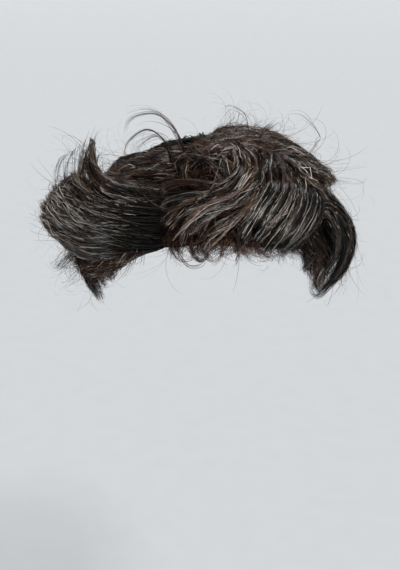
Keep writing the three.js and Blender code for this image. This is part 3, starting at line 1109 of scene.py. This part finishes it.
    def grow_flyaways(self, ribbons: Ribbons, lines: Array, rng: Random) -> None:
        """Grows loose strands that leave the section and curl away.

        Args:
            ribbons: Takes the strands.
            lines: (N, T, 3) strands that they start from.
            rng: The source of chance.
        """
        count, steps = self.flyaways, FLYAWAY_STEPS
        source = rng.integers(len(lines), size=count)
        start = rng.integers(4, lines.shape[1] - 1, size=count)
        point = lines[source, start]
        ahead = unit(lines[source, start + 1] - lines[source, start])
        away = unit(point + [0, 0, SCALP.dome * 0.6])
        way = unit(ahead + away * rng.uniform(0.1, 0.9, (count, 1)) + rng.normal(0, 0.25, (count, 3)))
        axis = unit(np.cross(way, rng.normal(0, 1, (count, 3))))
        length = FLYAWAY_LENGTH + FLYAWAY_LONGER * rng.random(count) ** 2.2
        bend = rng.uniform(0.8, 4.6, count) / steps
        path = [point]
        for step in range(steps - 1):
            turn = (bend * (0.5 + step / steps))[:, None]
            way = unit(way * np.cos(turn) + np.cross(axis, way) * np.sin(turn))
            axis = unit(axis + rng.normal(0, 0.06, (count, 3)))
            path.append(path[-1] + way * (length / steps)[:, None])
        loose = SCALP.keep_off(np.stack(path, 1), CAP_WALL + 0.5 * MM)
        facing = unit(rng.normal(0, 1, (count, 1, 3))) * np.ones_like(loose)
        widths = rng.uniform(*FLYAWAY_WIDTHS, count)
        shades = self.pick_shades(count, rng, rng.random(count), rng.random(count))
        # a random share of these strands gets the shaded material, as painted shade
        ribbons.add(loose, facing, widths, shades, rng.random(count) < 0.5)

    def dress(self, packed: Material, hair: Material, shade: Material) -> list[Piece]:
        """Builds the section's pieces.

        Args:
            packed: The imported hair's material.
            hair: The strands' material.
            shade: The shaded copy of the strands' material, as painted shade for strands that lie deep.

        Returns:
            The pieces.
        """
        rng = np.random.default_rng(FIRST_SEED + self.seed)
        share = 1.0
        ribbons = Ribbons(self.root, self.root_shade_reach)
        lines = self.sheet.grow(self, ribbons, rng, share)
        for layer in self.drapes:
            layer.grow(self, ribbons, rng, share)
        self.grow_cover(ribbons, rng, share)
        for wisp in self.wisps:
            wisp.grow(self, ribbons, rng)
        self.grow_flyaways(ribbons, lines, rng)
        made = [self.build_packed(packed, rng), ribbons.build(f"{self.node}_strands", hair, shade)]
        return [stand_for(piece, self.node) for piece in made]


# Sweeps out over the temple at the left and flips up
TEMPLE_WING = Section(
    "temple_wing",
    Bed(-75, -17, 58),
    drape(
        (-18, 68, -31, 74, 7, -49, 83, 17, -60, 80, 36, -64, 75, 51, -63, 70, 50, -60, 68, 45),
        (-20, 65, -32, 70, 17, -48, 74, 26, -59, 72, 43, -64, 69, 55, -62, 66, 51, -57, 65, 46),
        (-22, 62, -31, 67, 21, -46, 69, 31, -57, 66, 45, -61, 62, 52, -58, 60, 49, -54, 60, 43),
        (-26, 60, -32, 64, 22, -44, 63, 35, -53, 60, 45, -58, 59, 50, -55, 57, 46, -50, 58, 40),
        strands=2850, locks=9, gather=0.3, wave=1.2 * MM, frizz=0.42 * MM, loose=0.24, hook=1.0 * MM,
        lean=2.0 * MM, shortest=0.62, deep=0.12,
    ),
    tones=(0.58, 0.28, 0.12, 0.02), cover=900, flyaways=320, packed_end=0.5, root=0.24, root_shade_reach=1.2,
    seed=1,
    drapes=(
        drape(
            (-19, 68, -30, 75, 6, -46, 86, 13, -58, 87, 25, -66, 82, 37),
            (-24, 66, -36, 76, 10, -50, 86, 18, -62, 86, 30, -69, 79, 41),
            strands=620, locks=5, fine=4, gather=0.2, frizz=0.8 * MM, loose=0.35, shortest=0.2,
            lean=5 * MM, tones=(0.3, 0.5, 0.06, 0.14),
        ),
    ),
    wisps=(
        Wisp(
            (-24, 66, -40, 72, 20, -56, 72, 33, -62, 71, 46, -64, 69, 54, -61, 65, 55, -55, 65, 52),
            34, 2.4 * MM, 0.5,
        ),
        Wisp(
            (-40, 60, -48, 63, 33, -55, 64, 45, -59, 62, 51, -56, 59, 54, -50, 58, 53, -46, 59, 50),
            30, 2.0 * MM, 0.2,
        ),
        Wisp((-50, 66, -56, 73, 25, -62, 82, 33, -66, 90, 37, -64, 98, 35), 26, 4 * MM, 2.0),
        Wisp((-52, 70, -60, 80, 25, -67, 88, 35, -72, 93, 42, -75, 88, 47), 24, 4 * MM, 1.6),
        Wisp((-52, 70, -60, 86, 20, -68, 96, 28, -74, 103, 33, -80, 108, 30), 16, 4 * MM, 2.0),
    ),
)

# The pointed lock that stands above the wing
QUIFF = Section(
    "quiff",
    Bed(-75, -17, 40, 58),
    drape(
        (-28, 56, -35, 61, 21, -45, 61, 36, -53, 56, 46, -52, 48, 56),
        (-32, 51, -36, 56, 20, -43, 57, 32, -51, 53, 43, -50, 45, 57),
        (-40, 47, -43, 51, 17, -49, 53, 28, -53, 51, 39, -47, 44, 55),
        strands=1700, locks=5, gather=0.35, wave=0.8 * MM, frizz=0.3 * MM, hook=1.2 * MM, shortest=0.66,
        deep=0.2,
    ),
    tones=(0.58, 0.36, 0.06, 0.0), cover=600, flyaways=240, root=0.26, root_shade_reach=1.6, seed=2,
    drapes=(
        drape(
            (-26, 59, -33, 64, 22, -44, 64, 36, -53, 61, 45, -58, 57, 49),
            (-30, 56, -36, 60, 22, -44, 60, 35, -52, 57, 44, -56, 52, 50),
            strands=600, locks=3, hook=2.5 * MM,
        ),
    ),
    wisps=(
        Wisp((-44, 58, -52, 62, 35, -60, 60, 47, -65, 55, 52, -66, 50, 54, -62, 47, 53), 15, 2.2 * MM),
        Wisp(
            (-44, 60, -54, 65, 36, -62, 64, 48, -68, 60, 53, -69, 55, 56, -65, 52, 56, -61, 51, 53),
            13, 2.4 * MM,
        ),
        Wisp((-44, 56, -52, 59, 36, -59, 57, 45, -63, 51, 51, -62, 46, 56), 12, 2 * MM),
        Wisp((-42, 58, -48, 61, 33, -53, 57, 45, -54, 50, 54, -55, 44, 60), 12, 1.2 * MM),
        Wisp((-40, 54, -46, 55, 30, -52, 52, 42, -54, 46, 53, -53, 42, 58), 12, 1.2 * MM),
        Wisp((-40, 57, -46, 59, 31, -52, 56, 43, -53, 51, 50, -52, 48, 54.5), 44, 3.2 * MM),
    ),
)

# S-shaped locks over the middle of the forehead
CENTRE_WAVE = Section(
    "centre_wave",
    Bed(25, 52, 10, 46),
    drape(
        (28, 32, 18, 42, 18, 2, 55, 25, -11, 60, 33, -17, 67, 25),
        (38, 28, 26, 39, 18, 8, 53, 23, -9, 62, 29, -16, 72, 20),
        (42, 36, 26, 49, 19, 11, 59, 24, -4, 65, 26, -9, 74, 17),
        (46, 40, 26, 54, 21, 14, 62, 24, 4, 68, 21, -2, 76, 13),
        strands=2300, locks=7, wave=1.3 * MM, frizz=0.3 * MM, reach=0.95, shortest=0.6, hook=3.0 * MM,
    ),
    tones=(0.68, 0.24, 0.06, 0.02), cover=900, flyaways=70, packed_end=0.6, seed=3,
    wisps=(
        Wisp((44, 30, 45, 29, 25, 49, 28, 30, 52, 29, 35, 56, 30, 40), 40, 1.5 * MM),
        Wisp((26, 38, 5, 50, 21, -8, 50, 23, -18, 51, 23, -20, 54, 22, -17, 57, 21), 30, 3.2 * MM, 0.6),
        Wisp((26, 38, 2, 53, 22, -9, 55, 24, -17, 57, 23, -18, 60, 22, -13, 61, 21), 30, 3.2 * MM, 0.6),
        Wisp((-30, 52, -27, 56, 25, -21, 59, 25, -15, 60, 24, -10, 60, 22), 4, 1 * MM),
        Wisp((30, 34, 16, 54, 25, 11, 64, 25, 10, 71, 17, 12, 77, 10), 8, 1.2 * MM, 0.8),
    ),
)

# The smooth, glossy hair right of the middle
FRONT_SHEET = Section(
    "front_sheet",
    Bed(52, 66, 10, 46),
    drape(
        (54, 32, 24, 52, 25, 14, 61, 26, 11, 67, 21, 12, 73, 12),
        (57, 36, 33, 54, 27, 22, 63, 27, 17, 69, 21, 17, 74, 11),
        (60, 40, 42, 57, 28, 32, 66, 27, 25, 71, 21, 23, 75, 10),
        (63, 44, 50, 60, 28, 41, 68, 27, 35, 73, 20, 30, 76, 9),
        strands=2700, locks=8, wave=0.5 * MM, frizz=0.2 * MM, loose=0.06, gather=0.3, lean=2.0 * MM,
        reach=0.92, shortest=0.66, twist=0.35,
    ),
    tones=(0.92, 0.04, 0.04, 0.0), cover=900, flyaways=50, packed_end=0.6, root=0.12, root_shade_reach=1.2, seed=4,
    drapes=(
        drape(
            (53, 22, 38, 34, 17, 30, 42, 23, 24, 49, 27, 19, 56, 28),
            (55, 24, 44, 37, 18, 37, 45, 24, 31, 53, 28, 27, 60, 29),
            (60, 28, 53, 41, 20, 47, 50, 26, 42, 58, 29.5, 38, 65, 30),
            strands=620, locks=6, gather=0.2, margin=0.05, shortest=0.5, deep=0.3,
            tones=(0.72, 0.24, 0.04, 0.0),
        ),
    ),
)

# The large rolled curl beside the head at the right
SIDE_CURL = Section(
    "side_curl",
    Bed(40, 95, 46),
    drape(
        (46, 58, 47, 65, 25, 51, 74, 28, 54, 85, 21, 57, 95, 9),
        (54, 54, 53, 63, 29, 57, 74, 35, 60, 89, 27, 59, 102, 10),
        (68, 52, 64, 62, 26, 67, 77, 34, 67, 93, 28, 65, 107, 11),
        (84, 50, 80, 61, 21, 79, 77, 30, 78, 94, 26, 76, 109, 12),
        strands=2600, locks=6, wave=0.8 * MM, frizz=0.45 * MM, loose=0.2, gather=0.4, lean=1.5 * MM,
        hook=1.5 * MM, shortest=0.62, twist=0.35,
    ),
    tones=(0.84, 0.12, 0.04, 0.0), cover=900, flyaways=80, seed=5,
    drapes=(
        drape(
            (44, 62, 45, 68, 10, 47, 76, 10, 50, 85, 9, 54, 94, 7),
            (56, 60, 53, 72, 14, 54, 84, 14, 56, 94, 12, 58, 103, 8),
            (72, 60, 68, 76, 15, 66, 89, 15, 65, 99, 13, 64, 107, 9),
            strands=700, locks=5, gather=0.2, wave=2.0 * MM, frizz=0.8 * MM, loose=0.25,
            tones=(0.62, 0.34, 0.04, 0.0),
        ),
    ),
    wisps=(
        Wisp(
            (58, 60, 54, 66, 31, 58, 77, 35, 61, 89, 28, 60, 100, 17, 57, 104, 11, 56, 99, 6),
            44, 2.4 * MM, 0.2,
        ),
        Wisp(
            (64, 58, 62, 68, 33, 66, 80, 36, 68, 93, 29, 66, 105, 17, 61, 107, 11, 58, 102, 6),
            44, 2.4 * MM, 0.2,
        ),
        Wisp((48, 60, 50, 70, 25, 58, 78, 28, 66, 86, 30, 74, 92, 29), 16, 4 * MM),
        Wisp((46, 62, 47, 74, 20, 54, 84, 23, 62, 92, 25, 69, 98, 24), 14, 4 * MM),
    ),
)

# Small loops on the forehead
FRINGE_CURLS = Section(
    "fringe_curls",
    Bed(-17, 40, 46),
    drape(
        (-7, 65, -11, 67, 11, -15, 70, 10, -16, 73, 6, -13, 75, 3.5),
        (3, 66, -2, 69, 10, -6, 72, 7.5, -6, 74, 5, -3, 76, 3),
        (11, 66, 8, 69, 9, 5, 72, 6, 6, 74, 4, 9, 75, 3),
        (24, 65, 21, 69, 9, 21, 72, 6, 24, 74, 4, 27, 75, 3),
        (36, 63, 34, 68, 8, 34, 71, 5, 37, 73, 4, 40, 74, 3),
        strands=1150, locks=17, steps=10, gather=0.15, depth=2.5 * MM, wave=1.6 * MM, frizz=1.0 * MM,
        loose=0.3, hook=2.6 * MM, curl=7.0, shortest=0.15, margin=0.14, width=0.22 * MM,
    ),
    # the large auburn share is partly painted light, the warm glow of the skin below showing through the thin
    # fringe
    tones=(0.42, 0.15, 0.03, 0.4), cover=700, flyaways=80, packed=0.1, packed_end=0.25, seed=6,
    drapes=(
        drape(
            (10, 65, 10, 69, 8, 12, 73, 6, 16, 76, 4.5, 21, 79, 3.5),
            (28, 64, 29, 69, 9, 33, 74, 7, 39, 78, 5, 45, 82, 4),
            (40, 62, 41, 68, 9, 44, 74, 7, 49, 79, 5, 55, 84, 4),
            strands=420, locks=11, steps=10, gather=0.15, depth=2.5 * MM, frizz=1.0 * MM, loose=0.4,
            hook=2.6 * MM, curl=6.0, shortest=0.1, margin=0.1, width=0.19 * MM,
            tones=(0.34, 0.3, 0.02, 0.34),
        ),
    ),
    wisps=(
        Wisp((-12, 62, -16, 65, 12, -16, 71, 10, -12, 76, 7, -7, 75, 6, -8, 71, 8), 16, 1.8 * MM, 0.7),
        Wisp((-10, 64, -12, 67, 12, -12, 73, 10, -8, 78, 7, -3, 77, 6, -4, 73, 8), 12, 2.2 * MM, 0.7),
        Wisp((-2, 62, -7, 67, 13, -7, 73, 10, -4, 76, 7, -1, 74, 6, -1, 70, 8), 44, 2.2 * MM, 0.3),
        Wisp((4, 63, -1, 68, 12, -2, 73, 9, 1, 76, 6, 4, 74, 6), 18, 1.8 * MM, 0.6),
        Wisp((6, 63, 4, 67, 11, 5, 72, 8, 3, 76, 6, 0, 78, 5), 20, 1.8 * MM, 0.6),
        Wisp((12, 62, 8, 65, 17, 11, 69, 14, 13, 73, 9, 12, 77, 6), 16, 1.4 * MM, 0.8),
        Wisp((11, 64, 9, 68, 10, 11, 72, 8, 11, 77, 6, 9, 79, 5), 12, 1.4 * MM, 0.8),
        Wisp(
            (20, 65, 19, 69, 11, 23, 71, 12, 25, 68, 12, 22, 66, 11, 19, 68, 10, 22, 71, 9),
            20, 1.2 * MM, 0.3,
        ),
        Wisp((30, 66, 27, 71, 9, 30, 74, 7, 35, 75, 6, 40, 74, 6), 14, 2 * MM),
        Wisp((20, 66, 18, 71, 9, 21, 75, 6, 26, 77, 5, 31, 77, 5), 12, 2 * MM),
    ),
)

# Brown hair that falls from the crown to the right
CROWN_RIGHT = Section(
    "crown_right",
    Bed(66, 135, 10, 46),
    drape(
        (68, 38, 59, 47, 27, 58, 52, 31, 58, 55, 33, 60, 58, 34),
        (70, 28, 62, 38, 23, 63, 46, 29, 66, 52, 33, 68, 57, 37),
        (84, 20, 85, 34, 17, 90, 46, 21, 94, 57, 22, 96, 68, 21),
        (105, 19, 107, 34, 16.5, 110, 48, 20.5, 112, 61, 22, 114, 74, 21.5),
        (126, 18, 128, 34, 16, 129, 50, 20, 130, 65, 22, 131, 80, 22),
        strands=2600, locks=10, gather=0.28, margin=0.12,
    ),
    tones=(0.62, 0.32, 0.06, 0.0), root=0.1, root_shade_reach=0.6, cover=1100, flyaways=220, seed=7,
    drapes=(
        drape(
            (68, 44, 57, 50, 21, 54, 57, 25, 56, 64, 28, 60, 71, 29),
            (78, 42, 72, 50, 17, 69, 58, 23, 69, 66, 28, 71, 74, 31),
            (92, 42, 90, 52, 15, 88, 62, 20, 87, 72, 24, 87, 82, 27),
            strands=700, locks=4,
        ),
        drape(
            (64, 40, 42, 45, 25, 40, 52, 29, 44, 58, 31, 51, 64, 32),
            (67, 34, 54, 42, 23, 54, 48, 28, 58, 54, 31, 64, 60, 32),
            (74, 30, 66, 36, 21, 68, 44, 26, 73, 51, 30, 78, 58, 31),
            strands=800, locks=6, gather=0.3, tones=(0.5, 0.42, 0.08, 0.0),
        ),
        drape(
            (66, 40, 44, 44, 18, 38, 50, 23, 37, 56, 26, 40, 62, 27),
            (68, 44, 50, 50, 18, 45, 56, 23, 46, 61, 26, 50, 66, 27),
            strands=420, locks=3, gather=0.2, margin=0.3, deep=0.2, tones=(0.6, 0.34, 0.06, 0.0),
        ),
    ),
    wisps=(
        Wisp((66, 32, 62, 40, 25, 64, 48, 31, 67, 54, 35, 69, 59, 38.5), 30, 1.6 * MM, 0.1),
    ),
)

# The highest hair, with a lock that bends like a C and two thin arched curls
CROWN_TOP = Section(
    "crown_top",
    Bed(-17, 25, 7, 46),
    drape(
        (-12, 43, -15, 40, 13, -4, 36, 20, 19, 35, 21, 42, 43, 24),
        (-13, 32, -9, 27, 13, 22, 25, 18, 49, 28, 20, 69, 36, 21),
        (-12, 12, 20, 8, 10, 60, 14, 15, 80, 26, 18, 90, 38, 22),
        (-70, 7, 140, 6, 10, 116, 19, 14, 110, 33, 18, 107, 46, 20),
        strands=2400, locks=8, wave=1.6 * MM, frizz=0.7 * MM, loose=0.22, deep=0.25,
    ),
    # the large brown share is partly painted light, the glow of thin hair lit from behind and above
    crest=True, tones=(0.38, 0.57, 0.05, 0.0), root_shade_reach=0.55, cover=1300, flyaways=420, seed=8,
    drapes=(
        drape(
            (8, 16, 13, 23, 15, 17, 35, 19, 15, 44, 20, 5, 50, 19),
            (12, 17, 18, 24, 16, 22, 36, 20, 19, 46, 21, 8, 52, 21),
            (16, 19, 24, 26, 17, 27, 37, 21, 23, 47, 22, 10, 55, 22),
            strands=700, locks=4, gather=0.25, hook=1.0 * MM, reach=0.85, wave=1.0 * MM, frizz=0.5 * MM,
            tones=(0.5, 0.46, 0.04, 0.0),
        ),
        drape(
            (-15, 42, -18, 38, 13, -8, 37, 17, 4, 43, 15, 10, 52, 13),
            (-14, 32, -14, 27, 13, 2, 26, 17, 14, 33, 16, 18, 43, 15),
            strands=600, locks=5, hook=1.0 * MM, wave=2.0 * MM, frizz=1.2 * MM, depth=7 * MM, deep=0.6,
            tones=(0.7, 0.24, 0.06, 0.0),
        ),
    ),
    wisps=(
        Wisp((-15, 36, -24, 30, 30, -43, 27, 43, -60, 32, 44, -66, 37, 32), 9, 1.0 * MM),
        Wisp((-17, 36, -26, 29, 28, -42, 25, 37, -56, 27, 43, -66, 33, 45), 12, 4 * MM),
        Wisp((70, 40, 72, 44, 25, 72, 42, 43, 68, 34, 48, 62, 30, 40), 5, 3 * MM),
        Wisp((40, 24, 38, 26, 25, 32, 24, 40, 20, 20, 43, 10, 22, 35), 5, 3 * MM),
    ),
)

# Low hair between the crown and the wing
CROWN_LEFT = Section(
    "crown_left",
    Bed(-75, -17, 6, 40),
    drape(
        (-22, 36, -37, 41, 8.5, -50, 47, 13, -60, 53, 18, -68, 60, 21),
        (-26, 24, -46, 29, 6, -66, 38, 10, -76, 47, 15.5, -82, 56, 18),
        (-50, 12, -80, 22, 5, -92, 36, 8, -98, 49, 14, -101, 62, 18),
        strands=2200, locks=6, depth=3.6 * MM, wave=1.2 * MM, frizz=0.7 * MM, loose=0.22, deep=0.3,
    ),
    # the large brown share is partly painted light, the glow of thin hair lit from behind and above
    tones=(0.4, 0.54, 0.06, 0.0), root_shade_reach=0.75, cover=1100, flyaways=380, seed=9,
    wisps=(
        Wisp((-38, 30, -43, 28, 23, -53, 30, 33, -60, 37, 31, -62, 42, 22), 13, 1.2 * MM),
        Wisp((-36, 30, -42, 27, 18, -52, 28, 26, -62, 34, 25, -66, 40, 18), 14, 3 * MM),
    ),
)

# Over the ear at the left
LEFT_SIDE = Section(
    "left_side",
    Bed(-120, -75, 5),
    drape(
        (-78, 62, -79, 79, 17, -81, 93, 20, -85, 107, 19, -92, 119, 13),
        (-84, 52, -87, 75, 15, -94, 96, 16, -101, 112, 17, -107, 126, 11),
        (-94, 34, -99, 66, 16, -107, 94, 16, -110, 109, 16, -111, 122, 10),
        (-112, 22, -114, 56, 17, -118, 86, 19, -122, 105, 15, -124, 122, 11),
        strands=1900, locks=7, steps=10, gather=0.15, lean=2.0 * MM, shortest=0.66, margin=0.16,
        width=0.44 * MM,
    ),
    tones=(0.6, 0.34, 0.06, 0.0), cover=800, flyaways=170, seed=10,
)

# Over the ear at the right
RIGHT_SIDE = Section(
    "right_side",
    Bed(95, 135, 46),
    drape(
        (99, 56, 98, 72, 20, 96, 87, 25, 94, 99, 23, 92, 109, 17),
        (112, 54, 112, 72, 20, 112, 89, 23, 111, 102, 22, 109, 113, 18),
        (130, 52, 131, 72, 20, 132, 89, 22, 131, 102, 20, 129, 113, 18),
        strands=1600, locks=6, steps=10, gather=0.22, lean=2.0 * MM, shortest=0.6, margin=0.22,
        width=0.44 * MM,
    ),
    tones=(0.8, 0.15, 0.05, 0.0), cover=600, flyaways=60, seed=11,
)

# Down the back to the nape
BACK_HAIR = Section(
    "back_hair",
    Bed(135, 240, 4),
    drape(
        (137, 10, 138, 50, 17, 141, 75, 21, 142, 96, 19, 141, 111, 20),
        (160, 8, 163, 50, 15, 166, 76, 21, 169, 97, 18, 172, 112, 21),
        (185, 7, 186, 50, 12, 188, 76, 19, 191, 98, 17, 195, 112, 20),
        (210, 8, 210, 50, 9, 212, 76, 17, 214, 98, 17, 217, 112, 21),
        (237, 12, 237, 52, 8, 236, 78, 17, 235, 99, 18, 232, 113, 20),
        strands=3600, locks=13, steps=10, gather=0.2, wave=2.2 * MM, lean=2.2 * MM, shortest=0.6,
        margin=0.12, width=0.48 * MM, deep=0.45,
    ),
    tones=(0.77, 0.18, 0.05, 0.0), root=0.3, cover=1300, flyaways=120, seed=12,
)

SECTIONS = (
    TEMPLE_WING, QUIFF, CENTRE_WAVE, FRONT_SHEET, SIDE_CURL, FRINGE_CURLS, CROWN_RIGHT, CROWN_TOP,
    CROWN_LEFT, LEFT_SIDE, RIGHT_SIDE, BACK_HAIR,
)


@dataclass
class Foundation:
    """The net that the hair is knotted into, with a coated band along its edge."""

    around: int = 96
    down: int = 30
    wall: float = CAP_WALL
    band: float = 0.22  # the coated band's share of the way from the rim to the crown
    lip: float = 0.25 * MM  # how far the coat stands proud of the net

    def shell(self, name: str, span: Point2, lifts: Point2, material: Material) -> Piece:
        """Makes a shell over part of the scalp.

        Args:
            name: The piece's name.
            span: The shares of the way from the crown to the rim where it starts and ends.
            lifts: The lifts of its inside and its outside.
            material: The piece's material.

        Returns:
            The piece.
        """
        share = np.linspace(*span, self.down)
        path = np.concatenate([share, share[::-1]])
        lift = np.repeat(lifts[::-1], self.down)
        turn, step = np.linspace(0, 360, self.around + 1), np.arange(len(path))
        u, v = np.meshgrid(turn, step, indexing="ij")
        down = np.maximum(path[v], 0.002) * SCALP.rim(u)
        maps = np.stack([u / 360, v / (len(path) - 1)], -1)
        return mesh_piece(name, SCALP.over(u, down, lift[v]), grid_faces(*u.shape, flip=True), maps, material)

    def dress(self, net: Material, coat: Material) -> list[Piece]:
        """Builds the foundation's pieces.

        Args:
            net: The net's material.
            coat: The edge coating's material.

        Returns:
            The pieces.
        """
        lip = self.wall + self.lip
        made = [
            self.shell("foundation_net", (0.0, 0.995), (0.1 * MM, self.wall), net),
            self.shell("foundation_edge_coat", (1 - self.band, 1.0), (0.0, lip), coat),
        ]
        return [stand_for(piece, "base_cap") for piece in made]


@dataclass
class Floor:
    """A wide round floor of pale paper that turns up at its edge, far below the hair."""

    height: float = -1.2
    radius: float = 16.5
    flat: float = 11.5  # the radius where it starts to turn up
    rise: float = 4.5
    rings: int = 28
    spokes: int = 72

    def build(self, material: Material) -> Piece:
        """Makes the floor.

        Args:
            material: The paper's material.

        Returns:
            The floor.
        """
        turn = np.linspace(0, TURN, self.spokes + 1)[:, None]
        size = (np.linspace(0.001, 1, self.rings) ** 2 * self.radius)[None, :]
        x, y = size * np.cos(turn), size * np.sin(turn)
        up = self.rise * (np.maximum(size - self.flat, 0) / (self.radius - self.flat)) ** 2
        points = np.stack([x, y, np.broadcast_to(self.height + up, x.shape)], -1)
        faces = grid_faces(*x.shape, flip=True)
        sheet = mesh_piece("paper_floor", points, faces, points[..., :2], material)
        return sheet


@dataclass
class PhotoCamera:
    """The camera, looking down on the hair at the photograph's angle."""

    lens: float = 70.0
    pitch: float = 21.0
    place: Point3 = (-6.7 * MM, -812.2 * MM, 203.0 * MM)

    def build(self) -> Piece:
        """Makes the scene's camera.

        Returns:
            The camera.
        """
        data = bpy.data.cameras.new("photo_camera")
        data.lens = self.lens
        data.clip_start = 0.05
        camera = bpy.data.objects.new("photo_camera", data)
        camera.location = self.place
        camera.rotation_euler = (math.radians(90 - self.pitch), 0, 0)
        bpy.context.scene.collection.objects.link(camera)
        bpy.context.scene.camera = camera
        return camera


@dataclass
class EvenLight:
    """A light that falls evenly on the hair and the floor, as from a bank of diffusers."""

    name: str
    place: Point3
    softness: float  # degrees
    strength: float
    colour: str = "#ffffff"
    aim: Point3 = (0.0, 0.0, -0.05)  # the middle of the hair

    def build(self) -> Piece:
        """Makes the light, aimed at the hair.

        Returns:
            The light.
        """
        data = bpy.data.lights.new(self.name, "SUN")
        data.angle = math.radians(self.softness)
        data.energy = self.strength
        data.color = linear(self.colour)[:3]
        light = bpy.data.objects.new(self.name, data)
        light.location = self.place
        way = Vector(self.aim) - Vector(self.place)
        light.rotation_euler = way.to_track_quat("-Z", "Y").to_euler()
        bpy.context.scene.collection.objects.link(light)
        return light


def light_room(strength: float, colour: str) -> None:
    """Lights the whole room evenly.

    Args:
        strength: The even light's strength.
        colour: Its sRGB hex colour.
    """
    world = bpy.data.worlds.new("even_studio_light")
    world.use_nodes = True
    back = world.node_tree.nodes["Background"]
    back.inputs["Color"].default_value = linear(colour)
    back.inputs["Strength"].default_value = strength
    bpy.context.scene.world = world


def main() -> None:
    """Builds the toupee, its stage and its lights."""
    logging.basicConfig(level=logging.INFO, format="%(name)s %(message)s")
    bpy.context.scene.view_settings.view_transform = "Standard"
    PhotoCamera().build()
    light_room(0.2, "#eef2f6")
    EvenLight("key_diffusers", (0.3, -1.0, 0.9), 12, 3.6, "#fff9f2").build()
    EvenLight("fill_diffusers", (-0.7, -1.0, 0.6), 40, 0.3).build()
    EvenLight("back_diffusers", (0.15, 0.8, 1.0), 30, 1.5).build()
    Floor().build(PaperFinish().make())
    Foundation().dress(NetFinish().make(), CoatingFinish().make())
    packed, hair, shade = HairMassFinish().make(), HairFinish().make(), ShadedHairFinish().make()
    for section in SECTIONS:
        section.dress(packed, hair, shade)


if __name__ == "__main__":
    main()
